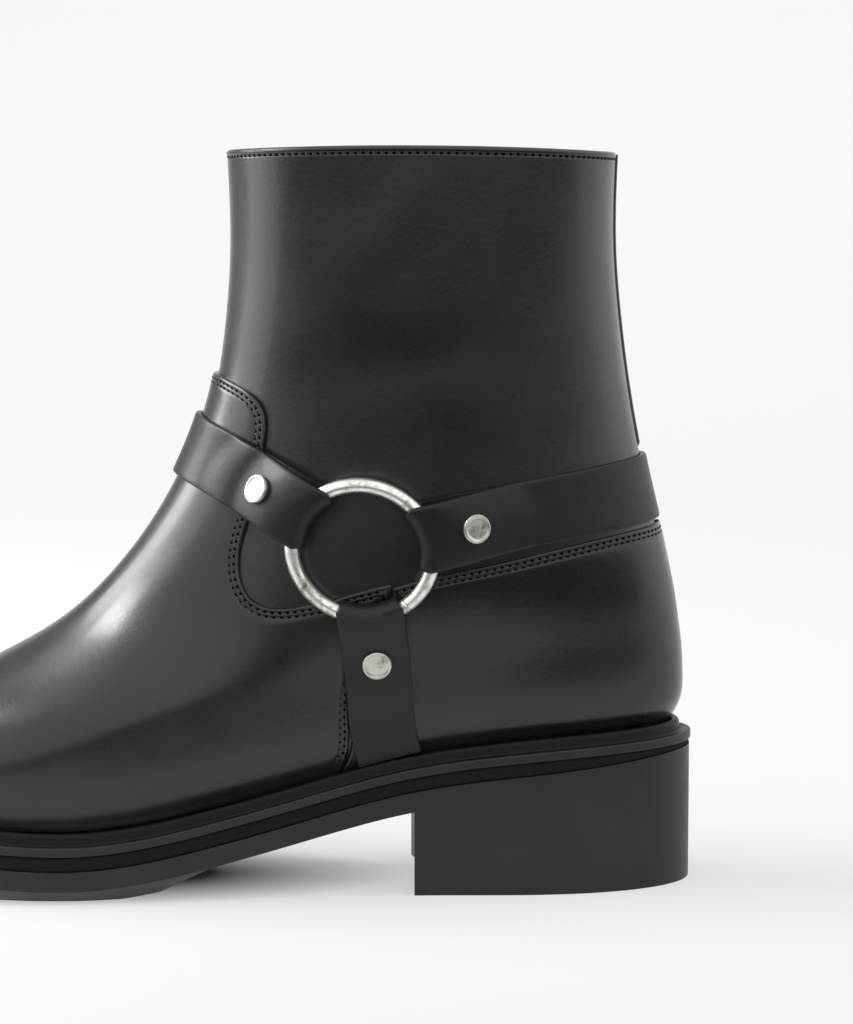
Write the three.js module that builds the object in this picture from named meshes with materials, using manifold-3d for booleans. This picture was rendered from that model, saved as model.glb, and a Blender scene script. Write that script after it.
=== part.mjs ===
// Left zip-up harness boot. Millimetres, +Z up, toe towards -X, outer side towards -Y, inner side towards +Y.
import * as THREE from 'three';
import { mergeVertices } from 'three/addons/utils/BufferGeometryUtils.js';
import Module from 'manifold-3d';

const wasm = await Module();
wasm.setup();

// Overall sizes of the sole
const soleLength = 285;
const ballWidth = 99;
const heelWidth = 66;
const heelLength = 92;
const ballSeat = 22.5;
const heelSeat = 53.6;
const toeSeat = 31;

// Layers of the sole, from the bead down
const beadHeight = 3.9;
const beadThickness = 2.4;
const weltReach = 6;
const weltThickness = 3.2;
const weltShelf = 10;
const midsoleThickness = 4.4;
const midsoleSetBack = 0.9;
const outsoleSetBack = 0.4;
const outsoleEdge = 6.2;
const treadInset = 8.6;
const treadDepth = 5.4;
const treadFrom = 0.54;
const treadRun = 0.07;
const waistBevel = 0.8;
const breastHollow = 3.5;
const breastSkew = 1.5;
const insoleThickness = 2.8;

// Overall sizes of the upper
const bootHeight = 240.4;
const shaftWidth = 84;
const counterSwell = 4;
const wall = 2.2;
const rimRound = 0.7;
const vampThickness = 1.4;
const counterThickness = 1.2;
const seamWidth = 3.6;
const seamThickness = 0.9;
const seamFootHeight = 143;

// Harness: one bent wire ring, three straps folded round it, and a rivet in each
const ringFromHeel = 107.9;
const ringHeight = 113.9;
const ringLong = 45.4;
const ringShort = 42.6;
const ringTurn = 26;
const ringLean = 7;
const wireDiameter = 4.8;
const strapWidth = 21.4;
const strapThickness = 1.8;
const rivetReach = 36;
const rivetDiameter = 9.5;
const rivetHeight = 1.7;
const rivetPost = 3;

// Inside zip
const zipFromHeel = 85;
const zipFootHeight = 64;
const zipSlotWidth = 8.6;
const zipTapeWidth = 17;
const zipTapeThickness = 0.7;
const zipChainWidth = 6;
const zipTopDrop = 3;
const zipStations = 3;
const sliderDrop = 13;
const sliderWidth = 8;
const sliderLength = 11;
const sliderThickness = 1.8;
const pinDiameter = 1.6;
const tabLength = 22;
const tabWidth = 6.5;
const tabThickness = 1.4;

const gap = 0.3;
const beadClearance = 0.45;
const overlayTop = gap + vampThickness;
const tuck = beadHeight - gap;
const tuckLean = 0.24;
const tuckSwell = -tuckLean;
const roundness = 2.5;
const stations = 20;

// Feather line: the height of the bead's top, as shares of the rise to the heel and of the toe spring
const seatRows = [
  { along: 0.000, rise: 1.000, spring: 0.00 },
  { along: 0.110, rise: 0.955, spring: 0.00 },
  { along: 0.225, rise: 0.870, spring: 0.00 },
  { along: 0.340, rise: 0.710, spring: 0.00 },
  { along: 0.450, rise: 0.450, spring: 0.00 },
  { along: 0.560, rise: 0.200, spring: 0.00 },
  { along: 0.690, rise: 0.010, spring: 0.00 },
  { along: 0.790, rise: 0.000, spring: 0.11 },
  { along: 0.900, rise: 0.000, spring: 0.50 },
  { along: 1.000, rise: 0.000, spring: 1.00 },
];

// Sole plan before its ends are rounded: centre line and half widths as shares of the ball width
const planRows = [
  { along: 0.00, centre: 0.020, outer: 0.338, inner: 0.330 },
  { along: 0.15, centre: 0.016, outer: 0.338, inner: 0.330 },
  { along: 0.33, centre: 0.006, outer: 0.330, inner: 0.312 },
  { along: 0.46, centre: 0.006, outer: 0.364, inner: 0.308 },
  { along: 0.58, centre: 0.018, outer: 0.438, inner: 0.402 },
  { along: 0.70, centre: 0.030, outer: 0.492, inner: 0.502 },
  { along: 0.84, centre: 0.044, outer: 0.494, inner: 0.500 },
  { along: 1.00, centre: 0.060, outer: 0.470, inner: 0.470 },
];
const toeRound = 0.25;
const heelRound = 0.25;

// Midsole thickness along the sole, as a share of its named thickness
const midsoleRows = [
  { along: 0.00, thick: 0.26 },
  { along: 0.05, thick: 0.50 },
  { along: 0.12, thick: 0.80 },
  { along: 0.25, thick: 0.96 },
  { along: 1.00, thick: 1.04 },
];

const toeTuck = -tuck / (bootHeight - toeSeat);
const heelTuck = -tuck / (bootHeight - heelSeat);

// Upper: each level is a loop from a front point to a back point. Lengths are shares of the sole's length,
// heights are shares of the way from that end's seat up to the boot's height.
const profileRows = [
  { level: 0.00, front: 0.9686, frontRise: toeTuck, back: 0.0314, backRise: heelTuck },
  { level: 0.03, front: 0.9720, frontRise: 0.0000, back: 0.0282, backRise: 0.0000 },
  { level: 0.07, front: 0.9795, frontRise: 0.0310, back: 0.0190, backRise: 0.0270 },
  { level: 0.12, front: 0.9770, frontRise: 0.0710, back: 0.0160, backRise: 0.0640 },
  { level: 0.18, front: 0.9430, frontRise: 0.1150, back: 0.0165, backRise: 0.1090 },
  { level: 0.26, front: 0.8650, frontRise: 0.1600, back: 0.0205, backRise: 0.1660 },
  { level: 0.34, front: 0.7830, frontRise: 0.2130, back: 0.0260, backRise: 0.2220 },
  { level: 0.42, front: 0.7140, frontRise: 0.2730, back: 0.0335, backRise: 0.2790 },
  { level: 0.50, front: 0.6560, frontRise: 0.3520, back: 0.0430, backRise: 0.3440 },
  { level: 0.58, front: 0.6110, frontRise: 0.4370, back: 0.0540, backRise: 0.4130 },
  { level: 0.66, front: 0.5765, frontRise: 0.5280, back: 0.0650, backRise: 0.4900 },
  { level: 0.74, front: 0.5520, frontRise: 0.6250, back: 0.0760, backRise: 0.5830 },
  { level: 0.82, front: 0.5390, frontRise: 0.7330, back: 0.0862, backRise: 0.6970 },
  { level: 0.90, front: 0.5330, frontRise: 0.8500, back: 0.0935, backRise: 0.8300 },
  { level: 1.00, front: 0.5360, frontRise: 1.0000, back: 0.0920, backRise: 0.9960 },
];

// Shape of each loop: half widths as shares of the shaft's width, how far it follows the sole's plan,
// its swell over the bead, and the shares of its length over which its ends round off, at the front and back
const sectionRows = [
  { level: 0.00, outer: 0.470, inner: 0.480, foot: 1.00, swell: tuckSwell, front: 0.235, back: 0.235 },
  { level: 0.03, outer: 0.470, inner: 0.480, foot: 1.00, swell: 0.00, front: 0.238, back: 0.235 },
  { level: 0.07, outer: 0.470, inner: 0.480, foot: 1.00, swell: 0.55, front: 0.250, back: 0.237 },
  { level: 0.12, outer: 0.469, inner: 0.479, foot: 0.97, swell: 0.94, front: 0.295, back: 0.242 },
  { level: 0.18, outer: 0.467, inner: 0.476, foot: 0.88, swell: 1.10, front: 0.390, back: 0.255 },
  { level: 0.26, outer: 0.461, inner: 0.469, foot: 0.66, swell: 1.00, front: 0.510, back: 0.290 },
  { level: 0.34, outer: 0.453, inner: 0.460, foot: 0.40, swell: 0.80, front: 0.580, back: 0.335 },
  { level: 0.42, outer: 0.445, inner: 0.451, foot: 0.19, swell: 0.50, front: 0.590, back: 0.375 },
  { level: 0.50, outer: 0.438, inner: 0.444, foot: 0.06, swell: 0.20, front: 0.560, back: 0.405 },
  { level: 0.58, outer: 0.435, inner: 0.440, foot: 0.01, swell: 0.00, front: 0.530, back: 0.430 },
  { level: 0.66, outer: 0.438, inner: 0.441, foot: 0.00, swell: 0.00, front: 0.510, back: 0.445 },
  { level: 0.74, outer: 0.448, inner: 0.449, foot: 0.00, swell: 0.00, front: 0.500, back: 0.455 },
  { level: 0.82, outer: 0.463, inner: 0.463, foot: 0.00, swell: 0.00, front: 0.495, back: 0.460 },
  { level: 0.90, outer: 0.480, inner: 0.480, foot: 0.00, swell: 0.00, front: 0.490, back: 0.465 },
  { level: 1.00, outer: 0.500, inner: 0.500, foot: 0.00, swell: 0.00, front: 0.485, back: 0.470 },
];
const hugFrom = 0.03;
const hugTo = 0.16;
const sagLevel = 0.42;

// Edges of the overlays seen from the side, as shares of the sole's length from the heel
// and of the boot's height
const vampEdge = [
  { along: 0.5600, up: 0.706 },
  { along: 0.5453, up: 0.699 },
  { along: 0.5042, up: 0.676 },
  { along: 0.4920, up: 0.661 },
  { along: 0.4874, up: 0.643 },
  { along: 0.4900, up: 0.602 },
  { along: 0.5077, up: 0.508 },
  { along: 0.5144, up: 0.482 },
  { along: 0.5180, up: 0.449 },
  { along: 0.5147, up: 0.424 },
  { along: 0.5055, up: 0.406 },
  { along: 0.4900, up: 0.3955 },
  { along: 0.4677, up: 0.3935 },
  { along: 0.4370, up: 0.399 },
  { along: 0.4147, up: 0.405 },
  { along: 0.3877, up: 0.415 },
  { along: 0.3467, up: 0.427 },
];
const vampBackEdge = [
  { along: 0.3488, up: 0.410 },
  { along: 0.3800, up: 0.330 },
  { along: 0.3947, up: 0.274 },
  { along: 0.3990, up: 0.200 },
  { along: 0.4050, up: 0.180 },
  { along: 0.4260, up: 0.130 },
];
const counterEdge = [
  { along: 0.3467, up: 0.4210 },
  { along: 0.3186, up: 0.4310 },
  { along: 0.2326, up: 0.4534 },
  { along: 0.1310, up: 0.4790 },
  { along: 0.0740, up: 0.4900 },
  { along: 0.0000, up: 0.4970 },
];

const overlayJoint = 0.42;
const overlaySlant = 11.5;

// How far up the upper's levels the pieces over it begin and end
const vampTopLevel = 0.82;
const counterTopLevel = 0.66;
const seamFootLevel = 0.4;
const foldFloorLevel = 0.7;
const roundStrapLevel = 0.35;
const lowerStrapLevel = 0.59;
const zipFootLevel = 0.07;

// Straps: where they meet the zip, how far their rise to the ring fades out, and their seat for the rivets
const strapMeetHeight = 118;
const strapZipGap = 1.2;
const leastFacing = 0.3;
const frontFade = 16;
const backFade = 28;
const lowerFade = 16;
const rivetSeatGap = 0.45;
const strapDropFrom = 5;
const strapDropRun = 14;

// Cap of a rivet, as shares of its radius and height
const rivetCap = [
  { out: 1.00, up: 0.00 },
  { out: 1.00, up: 0.55 },
  { out: 0.90, up: 1.00 },
  { out: 0.74, up: 0.80 },
  { out: 0.00, up: 0.86 },
];
const rivetSides = 12;

// Side view course of each strap from the ring's centre: slope, and bend per millimetre of reach
const frontCourse = { slope: 0.697, bend: -0.00279 };
const backCourse = { slope: 0.245, bend: -0.00068 };
const lowerCourse = { slope: 0.130, bend: -0.00060 };

// Natural cubic spline through one column of a table
function spline(rows, key, column) {
  const x = rows.map((row) => row[key]);
  const y = rows.map((row) => row[column]);
  const last = x.length - 1;
  const bend = new Array(last + 1).fill(0);
  const share = new Array(last + 1).fill(0);
  for (let i = 1; i < last; i += 1) {
    const ratio = (x[i] - x[i - 1]) / (x[i + 1] - x[i - 1]);
    const pivot = ratio * bend[i - 1] + 2;
    const jump = (y[i + 1] - y[i]) / (x[i + 1] - x[i]) - (y[i] - y[i - 1]) / (x[i] - x[i - 1]);
    bend[i] = (ratio - 1) / pivot;
    share[i] = (6 * jump / (x[i + 1] - x[i - 1]) - ratio * share[i - 1]) / pivot;
  }
  for (let i = last - 1; i >= 0; i -= 1) bend[i] = bend[i] * bend[i + 1] + share[i];
  return (at) => {
    const inside = Math.min(Math.max(at, x[0]), x[last]);
    let i = 0;
    while (i < last - 1 && inside > x[i + 1]) i += 1;
    const step = x[i + 1] - x[i];
    const a = (x[i + 1] - inside) / step;
    const b = 1 - a;
    return a * y[i] + b * y[i + 1] + ((a ** 3 - a) * bend[i] + (b ** 3 - b) * bend[i + 1]) * step * step / 6;
  };
}

function columns(rows, key) {
  const names = Object.keys(rows[0]).filter((name) => name !== key);
  const curves = Object.fromEntries(names.map((name) => [name, spline(rows, key, name)]));
  return (at) => Object.fromEntries(names.map((name) => [name, curves[name](at)]));
}

const mix = (a, b, t) => a + (b - a) * t;
const seatAt = columns(seatRows, 'along');
const planAt = columns(planRows, 'along');
const midsoleAt = columns(midsoleRows, 'along');
const profileAt = columns(profileRows, 'level');
const sectionAt = columns(sectionRows, 'level');

const placeAlong = (along) => soleLength * (0.5 - along);
const shareAlong = (x) => 0.5 - x / soleLength;
const sidePoint = (row) => new THREE.Vector2(placeAlong(row.along), row.up * bootHeight);

// Heights of the sole's layers at a place along it
function seatHeight(x) {
  const row = seatAt(shareAlong(x));
  return ballSeat + row.rise * (heelSeat - ballSeat) + row.spring * (toeSeat - ballSeat);
}
const weltTop = (x) => seatHeight(x) - beadHeight;
const weltBottom = (x) => weltTop(x) - weltThickness;
const midsoleTop = (x) => weltBottom(x) - gap;
const midsoleBottom = (x) => midsoleTop(x) - midsoleThickness * midsoleAt(shareAlong(x)).thick;
const outsoleTop = (x) => midsoleBottom(x) - gap;

// How far a rounded end has opened, from 0 at its tip to 1 where the straight part starts
function opened(share) {
  if (share >= 1) return 1;
  return Math.sqrt(Math.max(1 - (1 - Math.max(share, 0)) ** roundness, 0));
}

// Around a loop: 0 at the toe, a half turn at the heel, along the outer side first
const loopAngles = Array.from({ length: 2 * stations }, (_, i) => Math.PI * i / stations);
const backShare = (angle) => (1 - Math.cos(angle)) / 2;
const isOuter = (angle) => Math.sin(angle) >= 0;

const heelShare = planRows[0].outer + planRows[0].inner;
const heelScale = heelWidth / (heelShare * ballWidth);

function soleHalf(x, outer) {
  const along = shareAlong(x);
  const row = planAt(along);
  const scale = mix(heelScale, 1, Math.min(1, Math.max(0, 4 * along - 2)));
  return (outer ? row.outer : row.inner) * ballWidth * scale;
}

function soleEdge(angle) {
  const back = backShare(angle);
  const x = placeAlong(1 - back);
  const half = soleHalf(x, isOuter(angle)) * (isOuter(angle) ? -1 : 1);
  const round = opened(back / toeRound) * opened((1 - back) / heelRound);
  return new THREE.Vector2(x, planAt(1 - back).centre * ballWidth + half * round);
}

function soleEdgeInset(angle, inset) {
  const step = 0.002;
  const here = soleEdge(angle);
  const way = soleEdge(angle + step).sub(soleEdge(angle - step)).normalize();
  return new THREE.Vector2(here.x + way.y * -inset, here.y + way.x * inset);
}

// The upper's outer face, before any offset
const featherInset = weltReach + overlayTop + beadClearance;
function plainUpper(level, angle) {
  const profile = profileAt(level);
  const section = sectionAt(level);
  const back = backShare(angle);
  const outer = isOuter(angle);
  const front = placeAlong(profile.front);
  const rear = placeAlong(profile.back);
  const frontHeight = mix(toeSeat, bootHeight, profile.frontRise);
  const rearHeight = mix(heelSeat, bootHeight, profile.backRise);
  const x = mix(front, rear, back);
  const straight = mix(seatHeight(front), seatHeight(rear), back);
  const sag = Math.max(0, 1 - level / sagLevel) ** 3;
  const z = mix(frontHeight, rearHeight, back) + sag * (seatHeight(x) - straight);
  const footHalf = soleHalf(x, outer) - featherInset + section.swell * counterSwell;
  const shaftHalf = (outer ? section.outer : section.inner) * shaftWidth;
  const round = opened(back / section.front) * opened((1 - back) / section.back);
  const half = mix(shaftHalf, footHalf, section.foot) * round;
  const centre = planAt(shareAlong(x)).centre * ballWidth * section.foot;
  return new THREE.Vector3(x, centre + (outer ? -half : half), z);
}

function upperFace(level, angle) {
  const point = plainUpper(level, angle);
  if (level < hugTo) {
    const leave = Math.max(0, (level - hugFrom) / (hugTo - hugFrom));
    const hug = 1 - leave * leave * (3 - 2 * leave);
    const edge = soleEdgeInset(angle, featherInset - sectionAt(level).swell * counterSwell);
    point.x = mix(point.x, edge.x, hug);
    point.y = mix(point.y, edge.y, hug);
  }
  return point;
}

// Outward normal of the upper's face, level with the welt where the face stands on it
function upperNormal(level, angle) {
  const step = 0.004;
  const low = Math.max(level - step, 0);
  const high = Math.min(level + step, 1);
  const along = upperFace(level, angle + step).sub(upperFace(level, angle - step));
  const up = upperFace(high, angle).sub(upperFace(low, angle));
  const normal = along.cross(up).normalize();
  normal.z *= Math.min(1, level / hugFrom);
  return normal.normalize();
}

function upperPoint(level, angle, offset) {
  return upperFace(level, angle).addScaledVector(upperNormal(level, angle), offset);
}

// Level and angle of the upper's face at a side view place, on its outer or inner side
function findOnUpper(x, z, outer) {
  let low = 0;
  let high = 1;
  let angle = Math.PI / 2;
  for (let i = 0; i < 40; i += 1) {
    const level = (low + high) / 2;
    const profile = profileAt(level);
    const front = placeAlong(profile.front);
    const rear = placeAlong(profile.back);
    const back = Math.min(Math.max((x - front) / (rear - front), 0.001), 0.999);
    angle = Math.acos(1 - 2 * back) * (outer ? 1 : -1);
    if (upperFace(level, angle).z < z) low = level;
    else high = level;
  }
  return { level: (low + high) / 2, angle };
}

// Closed surface from loops of equal length: capped like a ladder, or joined end to end.
// Past the turn the loops run back along the first ones, and their faces split on the same diagonals.
function skin(loops, joined = false, turn = loops.length) {
  const count = loops[0].length;
  const positions = loops.flat().flatMap((point) => [point.x, point.y, point.z]);
  const faces = [];
  const quad = (a, b, c, d) => faces.push(a, b, c, a, c, d);
  const bands = joined ? loops.length : loops.length - 1;
  for (let j = 0; j < bands; j += 1) {
    const next = (j + 1) % loops.length;
    for (let i = 0; i < count; i += 1) {
      const beside = (i + 1) % count;
      const corners = [j * count + i, j * count + beside, next * count + beside, next * count + i];
      if (j < turn) quad(...corners);
      else quad(corners[1], corners[2], corners[3], corners[0]);
    }
  }
  if (!joined) {
    const top = (loops.length - 1) * count;
    const half = count / 2;
    for (let i = 0; i < half; i += 1) {
      const across = (count - i) % count;
      quad(i, across, count - i - 1, i + 1);
      quad(top + i, top + i + 1, top + count - i - 1, top + across);
    }
  }
  return closedGeometry(positions, faces);
}

function closedGeometry(positions, faces) {
  const geometry = new THREE.BufferGeometry();
  geometry.setAttribute('position', new THREE.Float32BufferAttribute(positions, 3));
  const kept = [];
  for (let i = 0; i < faces.length; i += 3) {
    const [a, b, c] = faces.slice(i, i + 3);
    if (a !== b && b !== c && c !== a) kept.push(a, b, c);
  }
  geometry.setIndex(kept);
  if (signedVolume(geometry) < 0) {
    for (let i = 0; i < kept.length; i += 3) [kept[i], kept[i + 1]] = [kept[i + 1], kept[i]];
    geometry.setIndex(kept);
  }
  return geometry;
}

function signedVolume(geometry) {
  const position = geometry.attributes.position;
  const index = geometry.index.array;
  const corner = (i) => new THREE.Vector3().fromBufferAttribute(position, index[i]);
  let sum = 0;
  for (let i = 0; i < index.length; i += 3) sum += corner(i).dot(corner(i + 1).cross(corner(i + 2)));
  return sum / 6;
}

// Closed sheet over a stretch of the upper, between two offsets that may change over it
function sheet(levels, angles, inner, outer) {
  const wide = angles.length;
  const tall = levels.length;
  const positions = [];
  const faces = [];
  for (const offset of [outer, inner]) {
    for (const level of levels) {
      for (const angle of angles) {
        const reach = typeof offset === 'function' ? offset(level, angle) : offset;
        positions.push(...upperPoint(level, angle, reach).toArray());
      }
    }
  }
  const back = wide * tall;
  const quad = (a, b, c, d) => faces.push(a, b, c, a, c, d);
  for (let j = 0; j < tall - 1; j += 1) {
    for (let i = 0; i < wide - 1; i += 1) {
      const at = j * wide + i;
      quad(at, at + 1, at + wide + 1, at + wide);
      quad(back + at, back + at + wide, back + at + wide + 1, back + at + 1);
    }
  }
  for (let i = 0; i < wide - 1; i += 1) {
    const top = (tall - 1) * wide + i;
    quad(i, back + i, back + i + 1, i + 1);
    quad(top, top + 1, back + top + 1, back + top);
  }
  for (let j = 0; j < tall - 1; j += 1) {
    const left = j * wide;
    const right = left + wide - 1;
    quad(left, left + wide, back + left + wide, back + left);
    quad(right, back + right, back + right + wide, right + wide);
  }
  return closedGeometry(positions, faces);
}

// Joins and cuts
function solid(geometry) {
  const plain = geometry.clone();
  plain.deleteAttribute('normal');
  plain.deleteAttribute('uv');
  const merged = mergeVertices(plain, 1e-4);
  return new wasm.Manifold(new wasm.Mesh({
    numProp: 3,
    vertProperties: new Float32Array(merged.attributes.position.array),
    triVerts: new Uint32Array(merged.index.array),
  }));
}

function geometryOf(body) {
  const mesh = body.getMesh();
  const geometry = new THREE.BufferGeometry();
  geometry.setAttribute('position', new THREE.BufferAttribute(new Float32Array(mesh.vertProperties), 3));
  geometry.setIndex(new THREE.BufferAttribute(new Uint32Array(mesh.triVerts), 1));
  return geometry;
}

// Side view outline pushed through the boot between two places across it
function sideCut(points, from, to) {
  const shape = new THREE.Shape(points);
  const geometry = new THREE.ExtrudeGeometry(shape, { depth: to - from, bevelEnabled: false });
  geometry.rotateX(Math.PI / 2);
  geometry.translate(0, to, 0);
  return solid(geometry);
}

// Closed tube along points, with a round section
function ringTube(radius) {
  const turns = 24;
  const sides = 9;
  const loops = [];
  for (let i = 0; i < turns; i += 1) {
    const turn = 2 * Math.PI * i / turns;
    const centre = new THREE.Vector2(Math.cos(turn) * ringLong / 2, Math.sin(turn) * ringShort / 2);
    const way = new THREE.Vector2(Math.cos(turn) * ringShort, Math.sin(turn) * ringLong).normalize();
    const loop = [];
    for (let k = 0; k < sides; k += 1) {
      const round = 2 * Math.PI * k / sides;
      const out = radius * Math.cos(round);
      loop.push(new THREE.Vector3(centre.x + way.x * out, centre.y + way.y * out, radius * Math.sin(round)));
    }
    loops.push(loop);
  }
  const geometry = skin(loops, true);
  geometry.applyMatrix4(ringFrame);
  return geometry;
}

// Upper's levels, spaced so that each form has its loops
const levels = [0, 0.03, 0.08, 0.13, 0.19, 0.25, 0.31, 0.37, 0.44, 0.51, 0.58, 0.66, 0.74, 0.82, 0.90, 1];
const widest = 90;
const farAbove = bootHeight + 20;

const boot = new THREE.Group();
const materials = {
  leather: new THREE.MeshStandardMaterial({ color: 0x1b1a19, roughness: 0.28, metalness: 0 }),
  lining: new THREE.MeshStandardMaterial({ color: 0x2a2724, roughness: 0.7, metalness: 0 }),
  rubber: new THREE.MeshStandardMaterial({ color: 0x1d1d1e, roughness: 0.55, metalness: 0 }),
  milled: new THREE.MeshStandardMaterial({ color: 0x161616, roughness: 0.9, metalness: 0 }),
  nickel: new THREE.MeshStandardMaterial({ color: 0xc9c4b6, roughness: 0.35, metalness: 1 }),
  tape: new THREE.MeshStandardMaterial({ color: 0x141414, roughness: 0.95, metalness: 0 }),
};

function place(name, shape, material) {
  const geometry = shape instanceof THREE.BufferGeometry ? shape : geometryOf(shape);
  const mesh = new THREE.Mesh(geometry, material);
  mesh.name = name;
  boot.add(mesh);
  return mesh;
}

// One loop of the sole's plan, set in by a distance, at heights given by a function
function soleLoop(inset, height) {
  return loopAngles.map((angle) => {
    const edge = soleEdgeInset(angle, inset);
    return new THREE.Vector3(edge.x, edge.y, height(edge.x));
  });
}

// Outsole and heel, moulded in one: a block with the space under the waist and toe taken out
function makeOutsole() {
  const block = solid(skin([soleLoop(outsoleSetBack, () => 0), soleLoop(outsoleSetBack, outsoleTop)]));
  const edge = (x) => outsoleTop(x) - outsoleEdge;
  const forefoot = (x) => Math.min(1, Math.max(0, (shareAlong(x) - treadFrom) / treadRun));
  const tread = (x) => edge(x) - mix(waistBevel, treadDepth, forefoot(x));
  const outside = treadDepth;
  const bevel = treadInset - outsoleSetBack;
  const flare = (x) => edge(x) + (edge(x) - tread(x)) * (outside + outsoleSetBack) / bevel;
  const under = solid(skin([
    soleLoop(-outside, () => -outside),
    soleLoop(-outside, flare),
    soleLoop(treadInset, tread),
  ]));
  const breast = placeAlong(heelLength / soleLength);
  const plan = new THREE.Shape();
  plan.moveTo(-soleLength, -widest);
  plan.lineTo(breast, -widest);
  plan.lineTo(breast, -heelWidth / 2);
  plan.quadraticCurveTo(breast + 2 * breastHollow, 0, breast - breastSkew, heelWidth / 2);
  plan.lineTo(breast - breastSkew, widest);
  plan.lineTo(-soleLength, widest);
  const depth = 2 * heelSeat;
  const ahead = new THREE.ExtrudeGeometry(plan, { depth, bevelEnabled: false, curveSegments: 6 });
  ahead.translate(0, 0, -heelSeat / 2);
  return block.subtract(under.intersect(solid(ahead)));
}

// Rough middle layer: a rim under the welt and a raised core that fills the welt's ring
function makeMidsole() {
  const core = weltReach + weltShelf + gap;
  return skin([
    soleLoop(midsoleSetBack, midsoleBottom),
    soleLoop(midsoleSetBack, midsoleTop),
    soleLoop(core, midsoleTop),
    soleLoop(core, weltTop),
  ]);
}

// Welt: a flange with a groove on top, and the bead that stands against the upper
function makeWelt() {
  const at = (rise) => (x) => weltTop(x) + rise;
  const lean = tuckLean * counterSwell;
  const beadFoot = weltReach - beadThickness;
  return skin([
    soleLoop(weltReach + weltShelf, weltBottom),
    soleLoop(0, weltBottom),
    soleLoop(0, weltTop),
    soleLoop(0.45 * beadFoot, weltTop),
    soleLoop(0.75 * beadFoot, at(-0.15 * beadHeight)),
    soleLoop(beadFoot, weltTop),
    soleLoop(beadFoot + 0.1 * beadThickness, at(0.75 * beadHeight)),
    soleLoop(beadFoot + 0.5 * beadThickness, at(beadHeight)),
    soleLoop(weltReach, at(0.9 * beadHeight)),
    soleLoop(weltReach + lean, weltTop),
    soleLoop(weltReach + weltShelf, weltTop),
  ], true);
}

function makeInsole() {
  const inset = featherInset + tuckLean * counterSwell + wall + gap;
  const low = (x) => weltTop(x) + gap;
  const high = (x) => low(x) + insoleThickness;
  return skin([soleLoop(inset, low), soleLoop(inset, high)]);
}

// Zip slot seen from the side, widened by a margin
const zipPlace = placeAlong(zipFromHeel / soleLength);
function zipOutline(width, foot, top) {
  const radius = width / 2;
  const points = [new THREE.Vector2(zipPlace + radius, top), new THREE.Vector2(zipPlace - radius, top)];
  const steps = 6;
  for (let i = 0; i <= steps; i += 1) {
    const turn = Math.PI * (1 + i / steps);
    const rise = radius * (1 + Math.sin(turn));
    points.push(new THREE.Vector2(zipPlace + radius * Math.cos(turn), foot + rise));
  }
  return points;
}
const zipSlot = sideCut(zipOutline(zipSlotWidth, zipFootHeight, farAbove), shaftWidth / 8, widest);

// Upper: one wall, open at the topline and underneath, with the slot for the zip on its inner side
function makeUpper() {
  const outerLoops = levels.map((level) => loopAngles.map((angle) => upperPoint(level, angle, 0)));
  const innerLoops = levels.map((level) => loopAngles.map((angle) => upperPoint(level, angle, -wall)));
  const drop = new THREE.Vector3(0, 0, -rimRound);
  const top = outerLoops.length - 1;
  const rimOuter = loopAngles.map((angle) => upperPoint(1, angle, -rimRound));
  const rimInner = loopAngles.map((angle) => upperPoint(1, angle, rimRound - wall));
  for (const point of outerLoops[top]) point.add(drop);
  for (const point of innerLoops[top]) point.add(drop);
  const wallLoops = [...outerLoops, rimOuter, rimInner, ...innerLoops.reverse()];
  return solid(skin(wallLoops, true, levels.length)).subtract(zipSlot);
}

// Shell all round the upper between two offsets, from its foot to a level
function shell(inner, outer, to) {
  const used = levels.filter((level) => level <= to);
  const loops = used.map((level) => loopAngles.map((angle) => upperPoint(level, angle, outer)));
  const back = used.map((level) => loopAngles.map((angle) => upperPoint(level, angle, inner)));
  return solid(skin([...loops, ...back.reverse()], true, used.length));
}

function makeVamp() {
  const edge = [...vampEdge, ...vampBackEdge].map(sidePoint);
  const ahead = new THREE.Vector2(-soleLength, edge[0].y);
  const below = new THREE.Vector2(edge[edge.length - 1].x - overlaySlant, 0);
  const outline = [ahead, ...edge, below, new THREE.Vector2(-soleLength, 0)];
  return shell(gap, overlayTop, vampTopLevel).intersect(sideCut(outline, -widest, widest));
}

function makeCounter() {
  const top = counterEdge.map(sidePoint);
  const beside = new THREE.Vector2(overlayJoint, 0);
  const back = vampBackEdge.map((row) => sidePoint(row).add(beside));
  const below = new THREE.Vector2(back[back.length - 1].x - overlaySlant, 0);
  const outline = [
    ...top,
    new THREE.Vector2(soleLength, top[top.length - 1].y),
    new THREE.Vector2(soleLength, 0),
    below,
    ...back.reverse(),
  ];
  const body = shell(gap, gap + counterThickness, counterTopLevel);
  return body.intersect(sideCut(outline, -widest, widest)).subtract(zipSlot);
}

// Raised seam down the back of the shaft, from the topline to the strap
function makeBackSeam() {
  const half = Math.asin(Math.min(1, seamWidth / shaftWidth));
  const angles = [Math.PI - half, Math.PI, Math.PI + half];
  const tall = levels.filter((level) => level > seamFootLevel);
  const strip = solid(sheet(tall, angles, gap, gap + seamThickness));
  const keep = [
    new THREE.Vector2(0, seamFootHeight),
    new THREE.Vector2(soleLength, seamFootHeight),
    new THREE.Vector2(soleLength, bootHeight - 2 * rimRound),
    new THREE.Vector2(0, bootHeight - 2 * rimRound),
  ];
  return strip.intersect(sideCut(keep, -widest, widest));
}

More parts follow.
